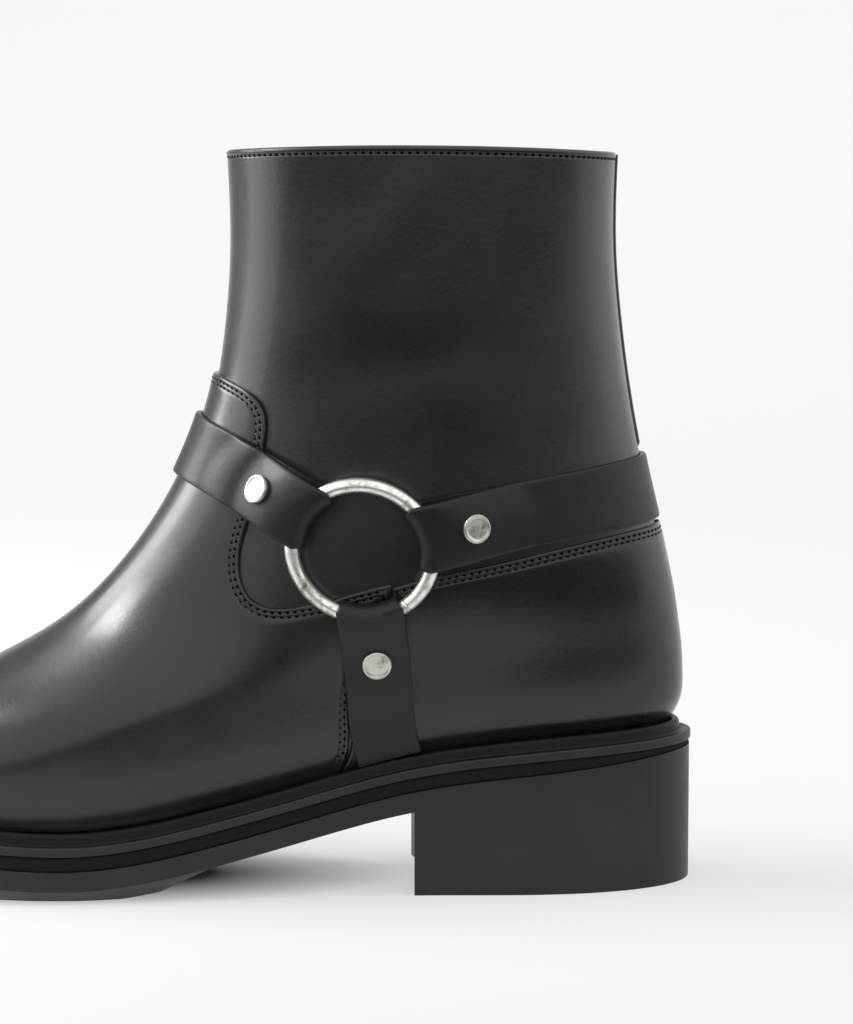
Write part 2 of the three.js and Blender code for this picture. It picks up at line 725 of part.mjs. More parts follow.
// Ring's frame: its centre over the upper's outer side, its long axis turned in its own plane
const ringPlace = placeAlong(ringFromHeel / soleLength);
const strapFloor = overlayTop + gap;
const foldRadius = wireDiameter / 2 + gap + strapThickness;
const ringFrame = new THREE.Matrix4();
const ringNormal = new THREE.Vector3();
const ringCentre = new THREE.Vector3();
{
  const found = findOnUpper(ringPlace, ringHeight, true);
  ringNormal.copy(upperNormal(found.level, found.angle));
  ringNormal.applyAxisAngle(new THREE.Vector3(1, 0, 0), THREE.MathUtils.degToRad(ringLean));
  ringCentre.copy(upperPoint(found.level, found.angle, strapFloor + foldRadius));
  const right = new THREE.Vector3(1, 0, 0).addScaledVector(ringNormal, -ringNormal.x).normalize();
  const up = new THREE.Vector3().crossVectors(ringNormal, right);
  const turn = THREE.MathUtils.degToRad(-ringTurn);
  const long = right.clone().multiplyScalar(Math.cos(turn)).addScaledVector(up, Math.sin(turn));
  const short = new THREE.Vector3().crossVectors(ringNormal, long);
  ringFrame.makeBasis(long, short, ringNormal).setPosition(ringCentre);
}

// Course of a strap in the side view: a centre line, given by its reach from the ring's centre
function outerCourse(course, direction) {
  return (reach) => {
    const sway = course.slope * reach + course.bend * reach * reach;
    if (direction === 0) return new THREE.Vector2(ringPlace + sway, ringHeight - reach);
    return new THREE.Vector2(ringPlace + direction * reach, ringHeight + sway);
  };
}

// Reach at which a strap's centre line goes round the front or back of the shaft
function turnReach(course, direction) {
  const centre = outerCourse(course, direction);
  const end = direction < 0 ? 0 : Math.PI;
  const spot = (level) => upperFace(level, end);
  let reach = 0;
  for (let level = 0.3; level < 0.9; level += 0.002) {
    const edge = spot(level);
    const at = direction * (edge.x - ringPlace);
    if (edge.z > centre(at).y) break;
    reach = at;
  }
  return reach;
}

// On the inner side the strap goes on from that turn with the same slope and ends level at the zip
function innerCourse(course, direction) {
  const turn = turnReach(course, direction);
  const start = outerCourse(course, direction)(turn);
  const slope = course.slope + 2 * course.bend * turn;
  const zipReach = direction * (zipPlace - ringPlace);
  const run = turn - zipReach;
  const bend = (strapMeetHeight - start.y + slope * run) / (run * run);
  return (reach) => {
    const back = turn - reach;
    return new THREE.Vector2(ringPlace + direction * reach, start.y - slope * back + bend * back * back);
  };
}

// Band of the strap's width along a centre line
function strapBand(centre, from, to) {
  const left = [];
  const right = [];
  const steps = 8;
  for (let i = 0; i <= steps; i += 1) {
    const reach = mix(from, to, i / steps);
    const way = centre(reach + 1).sub(centre(reach - 1)).normalize();
    const here = centre(reach);
    left.push(new THREE.Vector2(here.x - way.y * strapWidth / 2, here.y + way.x * strapWidth / 2));
    right.push(new THREE.Vector2(here.x + way.y * strapWidth / 2, here.y - way.x * strapWidth / 2));
  }
  return [...left, ...right.reverse()];
}

// Height over the upper of one face of a strap: on its floor far from the ring, and close to the ring
// as far from the wire's middle as the fold is
function strapFace(floor, lift, fold, fade) {
  return (level, angle) => {
    const base = upperFace(level, angle);
    const normal = upperNormal(level, angle);
    const far = floor(base.x) + lift;
    const facing = normal.dot(ringNormal);
    if (facing < leastFacing) return far;
    const toCentre = ringCentre.clone().sub(base);
    const height = toCentre.dot(ringNormal);
    const across = toCentre.addScaledVector(ringNormal, -height).length();
    const away = Math.min(1, Math.max(0, across - ringShort / 2) / fade);
    return mix(far, Math.max(far, (height + fold) / facing), (1 - away * away) ** 2);
  };
}

const ringGap = solid(ringTube(wireDiameter / 2 + gap));
const ringFold = solid(ringTube(foldRadius));
const ringHole = (() => {
  const hole = new THREE.Shape();
  hole.absellipse(0, 0, ringLong / 2, ringShort / 2, 0, 2 * Math.PI);
  const depth = 8 * foldRadius;
  const plug = new THREE.ExtrudeGeometry(hole, { depth, bevelEnabled: false, curveSegments: 26 });
  plug.translate(0, 0, -depth / 2);
  plug.applyMatrix4(ringFrame);
  return solid(plug);
})();
const overlayForm = (() => {
  const used = levels.filter((level) => level < foldFloorLevel);
  return solid(skin(used.map((level) => loopAngles.map((angle) => upperPoint(level, angle, strapFloor)))));
})();

// Rivet: a domed cap with a raised rim, square to the strap's face, on a post that goes through the strap
function rivetSeat(spot, outer, inner) {
  const found = findOnUpper(spot.x, spot.y, true);
  const face = (level, angle) => upperPoint(level, angle, outer(level, angle));
  const step = rivetDiameter / bootHeight / 2;
  const along = face(found.level, found.angle + step).sub(face(found.level, found.angle - step));
  const up = face(found.level + step, found.angle).sub(face(found.level - step, found.angle));
  const normal = along.cross(up).normalize();
  const side = new THREE.Vector3(1, 0, 0).addScaledVector(normal, -normal.x).normalize();
  const middle = face(found.level, found.angle).addScaledVector(normal, rivetSeatGap);
  const frame = new THREE.Matrix4();
  frame.makeBasis(side, new THREE.Vector3().crossVectors(normal, side), normal).setPosition(middle);
  return { frame, depth: outer(found.level, found.angle) - inner(found.level, found.angle) };
}

// Solid turned about a rivet's axis, from its profile
function turned(seat, profile) {
  const lathe = new THREE.LatheGeometry(profile.map((row) => new THREE.Vector2(row.out, row.up)), rivetSides);
  lathe.rotateX(Math.PI / 2);
  lathe.applyMatrix4(seat.frame);
  return solid(lathe);
}

function makeRivet(seat) {
  const radius = rivetDiameter / 2;
  const post = rivetPost / 2;
  return turned(seat, [
    { out: 0, up: -seat.depth },
    { out: post, up: -seat.depth },
    { out: post, up: 0 },
    ...rivetCap.map((row) => ({ out: row.out * radius, up: row.up * rivetHeight })),
  ]);
}

// Room in the strap for the rivet's post, and a flat seat under its cap
function rivetRoom(seat) {
  const post = rivetPost / 2 + gap;
  const cap = rivetDiameter / 2 + gap;
  return turned(seat, [
    { out: 0, up: -2 * seat.depth },
    { out: post, up: -2 * seat.depth },
    { out: post, up: -gap },
    { out: cap, up: -gap },
    { out: cap, up: 2 * cap },
    { out: 0, up: 2 * cap },
  ]);
}

// Strap: a layer over the wire and a layer under it, joined by the fold round the wire
const strapLevels = [
  0.03, 0.08, 0.13, 0.19, 0.25, 0.31, 0.35, 0.39, 0.43, 0.47, 0.51, 0.55, 0.59, 0.64, 0.70, 0.77,
];
function stationAngles(from, to, fineFrom, fineTo) {
  const angles = [];
  for (let i = from; i <= to; i += i >= fineFrom && i < fineTo ? 0.5 : 1) angles.push(Math.PI * i / stations);
  return angles;
}

function makeStrap({ centre, keep, tall, angles, fade, floor }) {
  const outer = strapFace(floor, strapThickness, foldRadius, fade);
  const inner = strapFace(floor, 0, foldRadius - strapThickness, fade);
  const plainUnder = strapFace(floor, strapThickness, strapThickness - foldRadius, fade);
  const underOuter = (level, angle) => {
    const roof = inner(level, angle);
    const top = plainUnder(level, angle);
    return roof - top > gap ? top : roof + strapThickness / 2;
  };
  const underInner = strapFace(floor, 0, -foldRadius, fade);
  const seat = rivetSeat(centre(rivetReach), outer, underInner);
  const underEnd = sideCut(strapBand(centre, 0, rivetReach + rivetDiameter), -widest, 0);
  const over = solid(sheet(tall, angles, inner, outer));
  const under = solid(sheet(tall, angles, underInner, underOuter)).intersect(underEnd);
  const nearRing = sideCut(strapBand(centre, ringShort / 2 - foldRadius, ringLong), -widest, 0);
  const fold = ringFold.intersect(nearRing).subtract(overlayForm);
  const strap = over.add(under).subtract(ringHole).add(fold).intersect(keep);
  const cut = strap.subtract(ringGap).subtract(rivetRoom(seat));
  const [whole] = cut.simplify(gap / 6).decompose().sort((a, b) => b.volume() - a.volume());
  return { strap: whole, rivet: makeRivet(seat) };
}

function makeRoundStrap({ course, direction, angles, fade, floor }) {
  const centre = outerCourse(course, direction);
  const inside = innerCourse(course, direction);
  const pastTurn = turnReach(course, direction) + strapWidth;
  const zipEdge = direction * (zipPlace - ringPlace) + strapZipGap + zipSlotWidth / 2;
  const outerKeep = sideCut(strapBand(centre, 0, pastTurn), -widest, 0);
  const innerKeep = sideCut(strapBand(inside, zipEdge, pastTurn), 0, widest);
  const tall = strapLevels.filter((level) => level >= roundStrapLevel);
  return makeStrap({ centre, keep: outerKeep.add(innerKeep), tall, angles, fade, floor });
}

function makeLowerStrap() {
  const centre = outerCourse(lowerCourse, 0);
  const above = [new THREE.Vector2(placeAlong(0), bootHeight), new THREE.Vector2(placeAlong(1), bootHeight)];
  const steps = 24;
  for (let i = 0; i <= steps; i += 1) {
    const x = placeAlong(1 - i / steps);
    above.push(new THREE.Vector2(x, seatHeight(x) + gap));
  }
  const keep = sideCut(strapBand(centre, 0, ringHeight), -widest, 0).intersect(sideCut(above, -widest, 0));
  const tall = strapLevels.filter((level) => level <= lowerStrapLevel);
  const angles = stationAngles(6, 15, 8, 12);
  return makeStrap({ centre, keep, tall, angles, fade: lowerFade, floor: () => strapFloor });
}

// Length of the inside zip between two offsets from the upper's outer face, cut to a width
function zipStrip(inner, outer, width, foot) {
  const found = findOnUpper(zipPlace, bootHeight / 2, false);
  const middle = Math.round(found.angle * stations / Math.PI);
  const angles = stationAngles(middle - zipStations, middle + zipStations, 0, 0);
  const tall = levels.filter((level) => level > zipFootLevel);
  const outline = zipOutline(width, foot, bootHeight - zipTopDrop);
  return solid(sheet(tall, angles, inner, outer)).intersect(sideCut(outline, 0, widest));
}

function makeZipTape() {
  const far = -wall - gap;
  return zipStrip(far - zipTapeThickness, far, zipTapeWidth, zipFootHeight - zipTapeWidth / 4);
}

function makeZipChain() {
  const foot = zipFootHeight + (zipSlotWidth - zipChainWidth) / 2;
  return zipStrip(-wall, -gap, zipChainWidth, foot);
}

// Slider's frame: its pin is level, so that the tab hangs straight down from it
const sliderSeat = findOnUpper(zipPlace, bootHeight - sliderDrop, false);
const sliderNormal = upperNormal(sliderSeat.level, sliderSeat.angle);
const pinWay = new THREE.Vector3(sliderNormal.y, -sliderNormal.x, 0).normalize();
const sliderFrame = new THREE.Matrix4();
sliderFrame.makeBasis(pinWay, new THREE.Vector3().crossVectors(sliderNormal, pinWay), sliderNormal);
sliderFrame.setPosition(upperPoint(sliderSeat.level, sliderSeat.angle, 0));
const pinRadius = pinDiameter / 2;
const eyeInner = pinRadius + gap;
const eyeOuter = eyeInner + tabThickness / 2;
const eyeWidth = tabWidth / 2;
const pinHeight = sliderThickness + eyeOuter + gap;

// Slider: its outer plate, two ears and the pin that carries the tab
function makeSlider() {
  const half = sliderWidth / 2;
  const top = sliderLength / 2;
  const plate = new THREE.Shape([
    new THREE.Vector2(-half, 0.8 * top),
    new THREE.Vector2(-0.8 * half, -top),
    new THREE.Vector2(0.8 * half, -top),
    new THREE.Vector2(half, 0.8 * top),
    new THREE.Vector2(0.7 * half, top),
    new THREE.Vector2(-0.7 * half, top),
  ]);
  let body = solid(new THREE.ExtrudeGeometry(plate, { depth: sliderThickness, bevelEnabled: false }));
  const earThickness = (sliderWidth - eyeWidth) / 2 - 1.5 * gap;
  for (const side of [-1, 1]) {
    const ear = new THREE.BoxGeometry(earThickness, 2 * eyeOuter, pinHeight + eyeInner);
    ear.translate(side * (half - earThickness / 2 - gap), 0, (pinHeight + eyeInner) / 2);
    body = body.add(solid(ear));
  }
  const pin = new THREE.CylinderGeometry(pinRadius, pinRadius, sliderWidth - earThickness, 10);
  pin.rotateZ(Math.PI / 2);
  pin.translate(0, 0, pinHeight);
  body = body.add(solid(pin));
  return body.transform(sliderFrame.elements);
}

// Pull tab: an eye round the pin and a flat grip with a hole, hanging straight down
function makeTab() {
  const eye = new THREE.Shape();
  eye.absarc(0, 0, eyeOuter, 0, 2 * Math.PI);
  const bore = new THREE.Path();
  bore.absarc(0, 0, eyeInner, 0, 2 * Math.PI, true);
  eye.holes.push(bore);
  const loop = new THREE.ExtrudeGeometry(eye, { depth: eyeWidth, bevelEnabled: false, curveSegments: 10 });
  loop.translate(0, 0, -eyeWidth / 2);
  loop.rotateY(Math.PI / 2);
  const neck = eyeWidth / 2;
  const half = tabWidth / 2;
  const low = half - tabLength;
  const grip = new THREE.Shape();
  grip.moveTo(-neck, -eyeInner - gap);
  grip.lineTo(-neck, -eyeOuter - neck);
  grip.lineTo(-half, -eyeOuter - 2 * neck);
  grip.absarc(0, low, half, Math.PI, 2 * Math.PI, false);
  grip.lineTo(half, -eyeOuter - 2 * neck);
  grip.lineTo(neck, -eyeOuter - neck);
  grip.lineTo(neck, -eyeInner - gap);
  const hole = new THREE.Path();
  hole.absarc(0, low, half / 2, 0, 2 * Math.PI, true);
  grip.holes.push(hole);
  const depth = tabThickness;
  const plate = new THREE.ExtrudeGeometry(grip, { depth, bevelEnabled: false, curveSegments: 6 });
  plate.translate(0, 0, -tabThickness / 2);
  plate.rotateX(Math.PI / 2);
  return solid(loop).add(solid(plate));
}

place('outsole_and_heel', makeOutsole(), materials.rubber);
place('midsole', makeMidsole(), materials.milled);
place('welt', makeWelt(), materials.rubber);
place('insole', makeInsole(), materials.lining);
place('upper', makeUpper(), materials.leather);
place('vamp', makeVamp(), materials.leather);
place('counter', makeCounter(), materials.leather);
place('back_seam', makeBackSeam(), materials.leather);
place('harness_ring', ringTube(wireDiameter / 2), materials.nickel);

const straps = {
  front: makeRoundStrap({
    course: frontCourse,
    direction: -1,
    angles: stationAngles(-13, 12, 6, 12),
    fade: frontFade,
    floor: (x) => mix(strapFloor + gap, gap, Math.min(1, Math.max(0, (x - strapDropFrom) / strapDropRun))),
  }),
  back: makeRoundStrap({
    course: backCourse,
    direction: 1,
    angles: stationAngles(9, 30, 9, 15),
    fade: backFade,
    floor: () => gap,
  }),
  lower: makeLowerStrap(),
};
for (const [name, pieces] of Object.entries(straps)) {
  place(`strap_${name}`, pieces.strap, materials.leather);
  place(`rivet_${name}`, pieces.rivet, materials.nickel);
}

place('zip_tape', makeZipTape(), materials.tape);
place('zip_chain', makeZipChain(), materials.nickel);

place('zip_slider', makeSlider(), materials.nickel);
const tab = place('zip_pull_tab', makeTab(), materials.nickel);
tab.position.set(0, 0, pinHeight).applyMatrix4(sliderFrame);
tab.rotation.z = Math.atan2(pinWay.y, pinWay.x);

// The origin: under the middle of the boot's box, on the floor
boot.updateMatrixWorld(true);
const box = new THREE.Box3().setFromObject(boot);
boot.position.set(-(box.min.x + box.max.x) / 2, -(box.min.y + box.max.y) / 2, -box.min.z);

export default boot;
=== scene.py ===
import math

import bpy
import numpy as np
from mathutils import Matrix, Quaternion, Vector, geometry, kdtree


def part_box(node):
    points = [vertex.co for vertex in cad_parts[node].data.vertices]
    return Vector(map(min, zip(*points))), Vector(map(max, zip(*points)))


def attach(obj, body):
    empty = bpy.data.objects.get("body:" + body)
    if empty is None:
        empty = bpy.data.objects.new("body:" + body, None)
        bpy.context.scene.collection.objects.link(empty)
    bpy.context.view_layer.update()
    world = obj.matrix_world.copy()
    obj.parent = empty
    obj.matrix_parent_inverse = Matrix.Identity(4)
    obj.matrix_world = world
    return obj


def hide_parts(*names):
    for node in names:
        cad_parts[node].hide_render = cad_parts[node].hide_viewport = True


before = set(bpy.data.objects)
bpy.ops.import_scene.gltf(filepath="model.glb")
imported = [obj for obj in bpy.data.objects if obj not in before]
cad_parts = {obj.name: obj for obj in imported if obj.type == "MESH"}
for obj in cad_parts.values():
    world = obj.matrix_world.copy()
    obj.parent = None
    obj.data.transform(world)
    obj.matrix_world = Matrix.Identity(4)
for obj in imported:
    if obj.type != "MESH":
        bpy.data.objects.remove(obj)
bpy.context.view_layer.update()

# Sizes in millimetres, in the boot's own frame: toe towards -X, outer side towards -Y, +Z up
SOLE_LENGTH = 285
BALL_WIDTH = 99
HEEL_WIDTH = 66
HEEL_LENGTH = 92
BALL_SEAT = 22.5
HEEL_SEAT = 53.6
TOE_SEAT = 31
BEAD_HEIGHT = 3.9
BEAD_THICKNESS = 2.4
WELT_REACH = 6
WELT_THICKNESS = 3.2
WELT_SHELF = 10
MIDSOLE_THICKNESS = 4.4
MIDSOLE_SET_BACK = 0.9
OUTSOLE_SET_BACK = 0.4
OUTSOLE_EDGE = 6.2
TREAD_INSET = 8.6
TREAD_DEPTH = 5.4
WAIST_BEVEL = 0.8
BREAST_HOLLOW = 3.5
BREAST_SKEW = 1.5
INSOLE_THICKNESS = 2.8
BOOT_HEIGHT = 240.4
SHAFT_WIDTH = 84
COUNTER_SWELL = 4
WALL = 2.2
VAMP_THICKNESS = 1.4
COUNTER_THICKNESS = 1.2
SEAM_WIDTH = 3.6
SEAM_FOOT = 143
RING_FROM_HEEL = 107.9
RING_HEIGHT = 113.9
RING_LONG = 45.4
RING_SHORT = 42.6
RING_TURN = 26
RING_LEAN = 7
WIRE_DIAMETER = 4.8
STRAP_WIDTH = 21.4
STRAP_THICKNESS = 1.8
RIVET_REACH = 36
RIVET_DIAMETER = 9.5
RIVET_HEIGHT = 1.7
ZIP_FROM_HEEL = 85
ZIP_FOOT = 64
ZIP_SLOT_WIDTH = 8.6
ZIP_TOP_DROP = 3
STRAP_MEET_HEIGHT = 118
STRAP_ZIP_GAP = 1.2
STRAP_DROP_FROM = 5
STRAP_DROP_RUN = 14
GAP = 0.3
BEAD_CLEARANCE = 0.45
OVERLAY_TOP = GAP + VAMP_THICKNESS
STRAP_FLOOR = OVERLAY_TOP + GAP
FOLD_RADIUS = WIRE_DIAMETER / 2 + GAP + STRAP_THICKNESS
TUCK = BEAD_HEIGHT - GAP
TUCK_LEAN = 0.24
TOPLINE_RISE = 1.6
ROUNDNESS = 2.5
TOE_ROUND = 0.25
HEEL_ROUND = 0.25
HUG_FROM = 0.03
HUG_TO = 0.16
SAG_LEVEL = 0.42

SEAT_NAMES = ("along", "rise", "spring")
SEAT_ROWS = (
    (0.000, 1.000, 0.00),
    (0.110, 0.955, 0.00),
    (0.225, 0.870, 0.00),
    (0.340, 0.710, 0.00),
    (0.450, 0.450, 0.00),
    (0.560, 0.200, 0.00),
    (0.690, 0.010, 0.00),
    (0.790, 0.000, 0.11),
    (0.900, 0.000, 0.50),
    (1.000, 0.000, 1.00),
)
PLAN_NAMES = ("along", "centre", "outer", "inner")
PLAN_ROWS = (
    (0.00, 0.020, 0.338, 0.330),
    (0.15, 0.016, 0.338, 0.330),
    (0.33, 0.006, 0.330, 0.312),
    (0.46, 0.006, 0.364, 0.308),
    (0.58, 0.018, 0.438, 0.402),
    (0.70, 0.030, 0.492, 0.502),
    (0.84, 0.044, 0.494, 0.500),
    (1.00, 0.060, 0.470, 0.470),
)
MIDSOLE_NAMES = ("along", "thick")
MIDSOLE_ROWS = ((0.00, 0.26), (0.05, 0.50), (0.12, 0.80), (0.25, 0.96), (1.00, 1.04))
TOE_TUCK = -TUCK / (BOOT_HEIGHT - TOE_SEAT)
HEEL_TUCK = -TUCK / (BOOT_HEIGHT - HEEL_SEAT)
PROFILE_NAMES = ("level", "front", "front_rise", "back", "back_rise")
PROFILE_ROWS = (
    (0.00, 0.9686, TOE_TUCK, 0.0314, HEEL_TUCK),
    (0.03, 0.9720, 0.0000, 0.0282, 0.0000),
    (0.07, 0.9795, 0.0310, 0.0190, 0.0270),
    (0.12, 0.9770, 0.0710, 0.0160, 0.0640),
    (0.18, 0.9430, 0.1150, 0.0165, 0.1090),
    (0.26, 0.8650, 0.1600, 0.0205, 0.1660),
    (0.34, 0.7830, 0.2130, 0.0260, 0.2220),
    (0.42, 0.7140, 0.2730, 0.0335, 0.2790),
    (0.50, 0.6560, 0.3520, 0.0430, 0.3440),
    (0.58, 0.6110, 0.4370, 0.0540, 0.4130),
    (0.66, 0.5765, 0.5280, 0.0650, 0.4900),
    (0.74, 0.5520, 0.6250, 0.0760, 0.5830),
    (0.82, 0.5390, 0.7330, 0.0862, 0.6970),
    (0.90, 0.5330, 0.8500, 0.0935, 0.8300),
    (1.00, 0.5360, 1.0000, 0.0920, 0.9960),
)
SECTION_NAMES = ("level", "outer", "inner", "foot", "swell", "front_round", "back_round")
SECTION_ROWS = (
    (0.00, 0.470, 0.480, 1.00, -TUCK_LEAN, 0.235, 0.235),
    (0.03, 0.470, 0.480, 1.00, 0.00, 0.238, 0.235),
    (0.07, 0.470, 0.480, 1.00, 0.55, 0.250, 0.237),
    (0.12, 0.469, 0.479, 0.97, 0.94, 0.295, 0.242),
    (0.18, 0.467, 0.476, 0.88, 1.10, 0.390, 0.255),
    (0.26, 0.461, 0.469, 0.66, 1.00, 0.510, 0.290),
    (0.34, 0.453, 0.460, 0.40, 0.80, 0.580, 0.335),
    (0.42, 0.445, 0.451, 0.19, 0.50, 0.590, 0.375),
    (0.50, 0.438, 0.444, 0.06, 0.20, 0.560, 0.405),
    (0.58, 0.435, 0.440, 0.01, 0.00, 0.530, 0.430),
    (0.66, 0.438, 0.441, 0.00, 0.00, 0.510, 0.445),
    (0.74, 0.448, 0.449, 0.00, 0.00, 0.500, 0.455),
    (0.82, 0.463, 0.463, 0.00, 0.00, 0.495, 0.460),
    (0.90, 0.480, 0.480, 0.00, 0.00, 0.490, 0.465),
    (1.00, 0.500, 0.500, 0.00, 0.00, 0.485, 0.470),
)

# Overlay edges from the side: shares of the sole's length from the heel, and of the boot's height
VAMP_EDGE = (
    (0.5600, 0.706), (0.5453, 0.699), (0.5042, 0.676), (0.4920, 0.661), (0.4874, 0.643), (0.4900, 0.602),
    (0.5077, 0.508), (0.5144, 0.482), (0.5180, 0.449), (0.5147, 0.424), (0.5055, 0.406), (0.4900, 0.3955),
    (0.4677, 0.3935), (0.4370, 0.399), (0.4147, 0.405), (0.3877, 0.415), (0.3467, 0.427),
)
VAMP_BACK_EDGE = (
    (0.3488, 0.410), (0.3800, 0.330), (0.3947, 0.274), (0.3990, 0.200), (0.4050, 0.180), (0.4260, 0.130),
)
COUNTER_EDGE = (
    (0.3467, 0.4210), (0.3186, 0.4310), (0.2326, 0.4534), (0.1310, 0.4790), (0.0740, 0.4900),
    (0.0000, 0.4970),
)
FRONT_COURSE = (0.697, -0.00279)
BACK_COURSE = (0.245, -0.00068)
LOWER_COURSE = (0.130, -0.00060)


# Natural cubic splines through the columns of a table
def spline(xs, ys):
    xs = np.array(xs, float)
    ys = np.array(ys, float)
    count = len(xs)
    system = np.eye(count)
    jump = np.zeros(count)
    for i in range(1, count - 1):
        system[i, i - 1:i + 2] = (
            (xs[i] - xs[i - 1]) / 6,
            (xs[i + 1] - xs[i - 1]) / 3,
            (xs[i + 1] - xs[i]) / 6,
        )
        jump[i] = (ys[i + 1] - ys[i]) / (xs[i + 1] - xs[i]) - (ys[i] - ys[i - 1]) / (xs[i] - xs[i - 1])
    bend = np.linalg.solve(system, jump)

    def at(value):
        inside = np.clip(value, xs[0], xs[-1])
        i = np.clip(np.searchsorted(xs, inside, side="right") - 1, 0, count - 2)
        step = xs[i + 1] - xs[i]
        a = (xs[i + 1] - inside) / step
        b = 1 - a
        curve = (a ** 3 - a) * bend[i] + (b ** 3 - b) * bend[i + 1]
        return a * ys[i] + b * ys[i + 1] + curve * step * step / 6

    return at


def columns(names, rows):
    table = list(zip(*rows))
    return {name: spline(table[0], column) for name, column in zip(names[1:], table[1:])}


seat_at = columns(SEAT_NAMES, SEAT_ROWS)
plan_at = columns(PLAN_NAMES, PLAN_ROWS)
midsole_at = columns(MIDSOLE_NAMES, MIDSOLE_ROWS)
profile_at = columns(PROFILE_NAMES, PROFILE_ROWS)
section_at = columns(SECTION_NAMES, SECTION_ROWS)


def mix(a, b, t):
    return a + (b - a) * t


def ease(t):
    t = np.clip(t, 0, 1)
    return t * t * (3 - 2 * t)


def place_along(along):
    return SOLE_LENGTH * (0.5 - along)


def share_along(x):
    return 0.5 - x / SOLE_LENGTH


def side_points(rows):
    return np.array([(place_along(along), up * BOOT_HEIGHT) for along, up in rows])


def seat_height(x):
    along = share_along(x)
    rise = seat_at["rise"](along) * (HEEL_SEAT - BALL_SEAT)
    return BALL_SEAT + rise + seat_at["spring"](along) * (TOE_SEAT - BALL_SEAT)


def welt_top(x):
    return seat_height(x) - BEAD_HEIGHT


def welt_bottom(x):
    return welt_top(x) - WELT_THICKNESS


def midsole_bottom(x):
    return welt_bottom(x) - GAP - MIDSOLE_THICKNESS * midsole_at["thick"](share_along(x))


def opened(share):
    return np.sqrt(np.clip(1 - (1 - np.clip(share, 0, 1)) ** ROUNDNESS, 0, None))


HEEL_SCALE = HEEL_WIDTH / ((PLAN_ROWS[0][2] + PLAN_ROWS[0][3]) * BALL_WIDTH)


def sole_half(x, outer):
    along = share_along(x)
    scale = mix(HEEL_SCALE, 1, np.clip(4 * along - 2, 0, 1))
    return np.where(outer, plan_at["outer"](along), plan_at["inner"](along)) * BALL_WIDTH * scale


def sole_edge(angle):
    back = (1 - np.cos(angle)) / 2
    x = place_along(1 - back)
    outer = np.sin(angle) >= 0
    half = sole_half(x, outer) * np.where(outer, -1, 1)
    ends = opened(back / TOE_ROUND) * opened((1 - back) / HEEL_ROUND)
    y = plan_at["centre"](1 - back) * BALL_WIDTH + half * ends
    return np.stack([x, y], axis=-1)


def sole_inset(angle, inset):
    step = 0.002
    here = sole_edge(angle)
    way = sole_edge(angle + step) - sole_edge(angle - step)
    way = way / np.linalg.norm(way, axis=-1, keepdims=True)
    return np.stack([here[..., 0] - way[..., 1] * inset, here[..., 1] + way[..., 0] * inset], axis=-1)


FEATHER_INSET = WELT_REACH + OVERLAY_TOP + BEAD_CLEARANCE


# The upper's face and its normal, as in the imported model
def upper_face(level, angle):
    level = np.asarray(level, float)
    angle = np.asarray(angle, float)
    back = (1 - np.cos(angle)) / 2
    outer = np.sin(angle) >= 0
    front = place_along(profile_at["front"](level))
    rear = place_along(profile_at["back"](level))
    front_z = mix(TOE_SEAT, BOOT_HEIGHT, profile_at["front_rise"](level))
    rear_z = mix(HEEL_SEAT, BOOT_HEIGHT, profile_at["back_rise"](level))
    x = mix(front, rear, back)
    straight = mix(seat_height(front), seat_height(rear), back)
    sag = np.clip(1 - level / SAG_LEVEL, 0, None) ** 3
    z = mix(front_z, rear_z, back) + sag * (seat_height(x) - straight)
    foot = section_at["foot"](level)
    swell = section_at["swell"](level)
    foot_half = sole_half(x, outer) - FEATHER_INSET + swell * COUNTER_SWELL
    shaft_half = np.where(outer, section_at["outer"](level), section_at["inner"](level)) * SHAFT_WIDTH
    front_end = opened(back / section_at["front_round"](level))
    back_end = opened((1 - back) / section_at["back_round"](level))
    half = mix(shaft_half, foot_half, foot) * front_end * back_end
    y = plan_at["centre"](share_along(x)) * BALL_WIDTH * foot + np.where(outer, -half, half)
    hug = 1 - ease((level - HUG_FROM) / (HUG_TO - HUG_FROM))
    edge = sole_inset(angle, FEATHER_INSET - swell * COUNTER_SWELL)
    return np.stack([mix(x, edge[..., 0], hug), mix(y, edge[..., 1], hug), z + 0 * x], axis=-1)


def upper_normal(level, angle):
    step = 0.004
    level, angle = np.broadcast_arrays(np.asarray(level, float), np.asarray(angle, float))
    along = upper_face(level, angle + step) - upper_face(level, angle - step)
    up = upper_face(np.minimum(level + step, 1), angle) - upper_face(np.maximum(level - step, 0), angle)
    normal = np.cross(along, up)
    normal = normal / np.linalg.norm(normal, axis=-1, keepdims=True)
    normal[..., 2] *= np.minimum(1, level / HUG_FROM)
    return normal / np.linalg.norm(normal, axis=-1, keepdims=True)


# Main creases and swellings: soft troughs (negative) and ridges, each along a line in the side view
# Columns: side, from x, from z, to x, to z, half width, height
CREASES = (
    ("both", -95, 22, 50, 56, 13.0, 1.30),
    ("both", 40, 58, 150, 64, 15.0, 1.50),
    ("outer", 20, 170, 78, 178, 9.0, -0.40),
    ("outer", 26, 196, 58, 234, 8.0, 0.35),
)


def crease_height(point, normal):
    total = np.zeros(point.shape[:-1])
    for side, x0, z0, x1, z1, width, height in CREASES:
        start = np.array([x0, z0], float)
        run = np.array([x1, z1], float) - start
        flat = point[..., (0, 2)] - start
        share = np.clip((flat @ run) / (run @ run), 0, 1)
        away = np.linalg.norm(flat - share[..., None] * run, axis=-1) / width
        fade = np.sin(math.pi * np.clip(0.08 + 0.84 * share, 0, 1))
        facing = np.abs(normal[..., 1])
        if side == "outer":
            facing = np.clip(-normal[..., 1], 0, 1)
        total += height * np.exp(-away ** 2) * fade * facing
    return total * ease((point[..., 2] - seat_height(point[..., 0])) / 9)


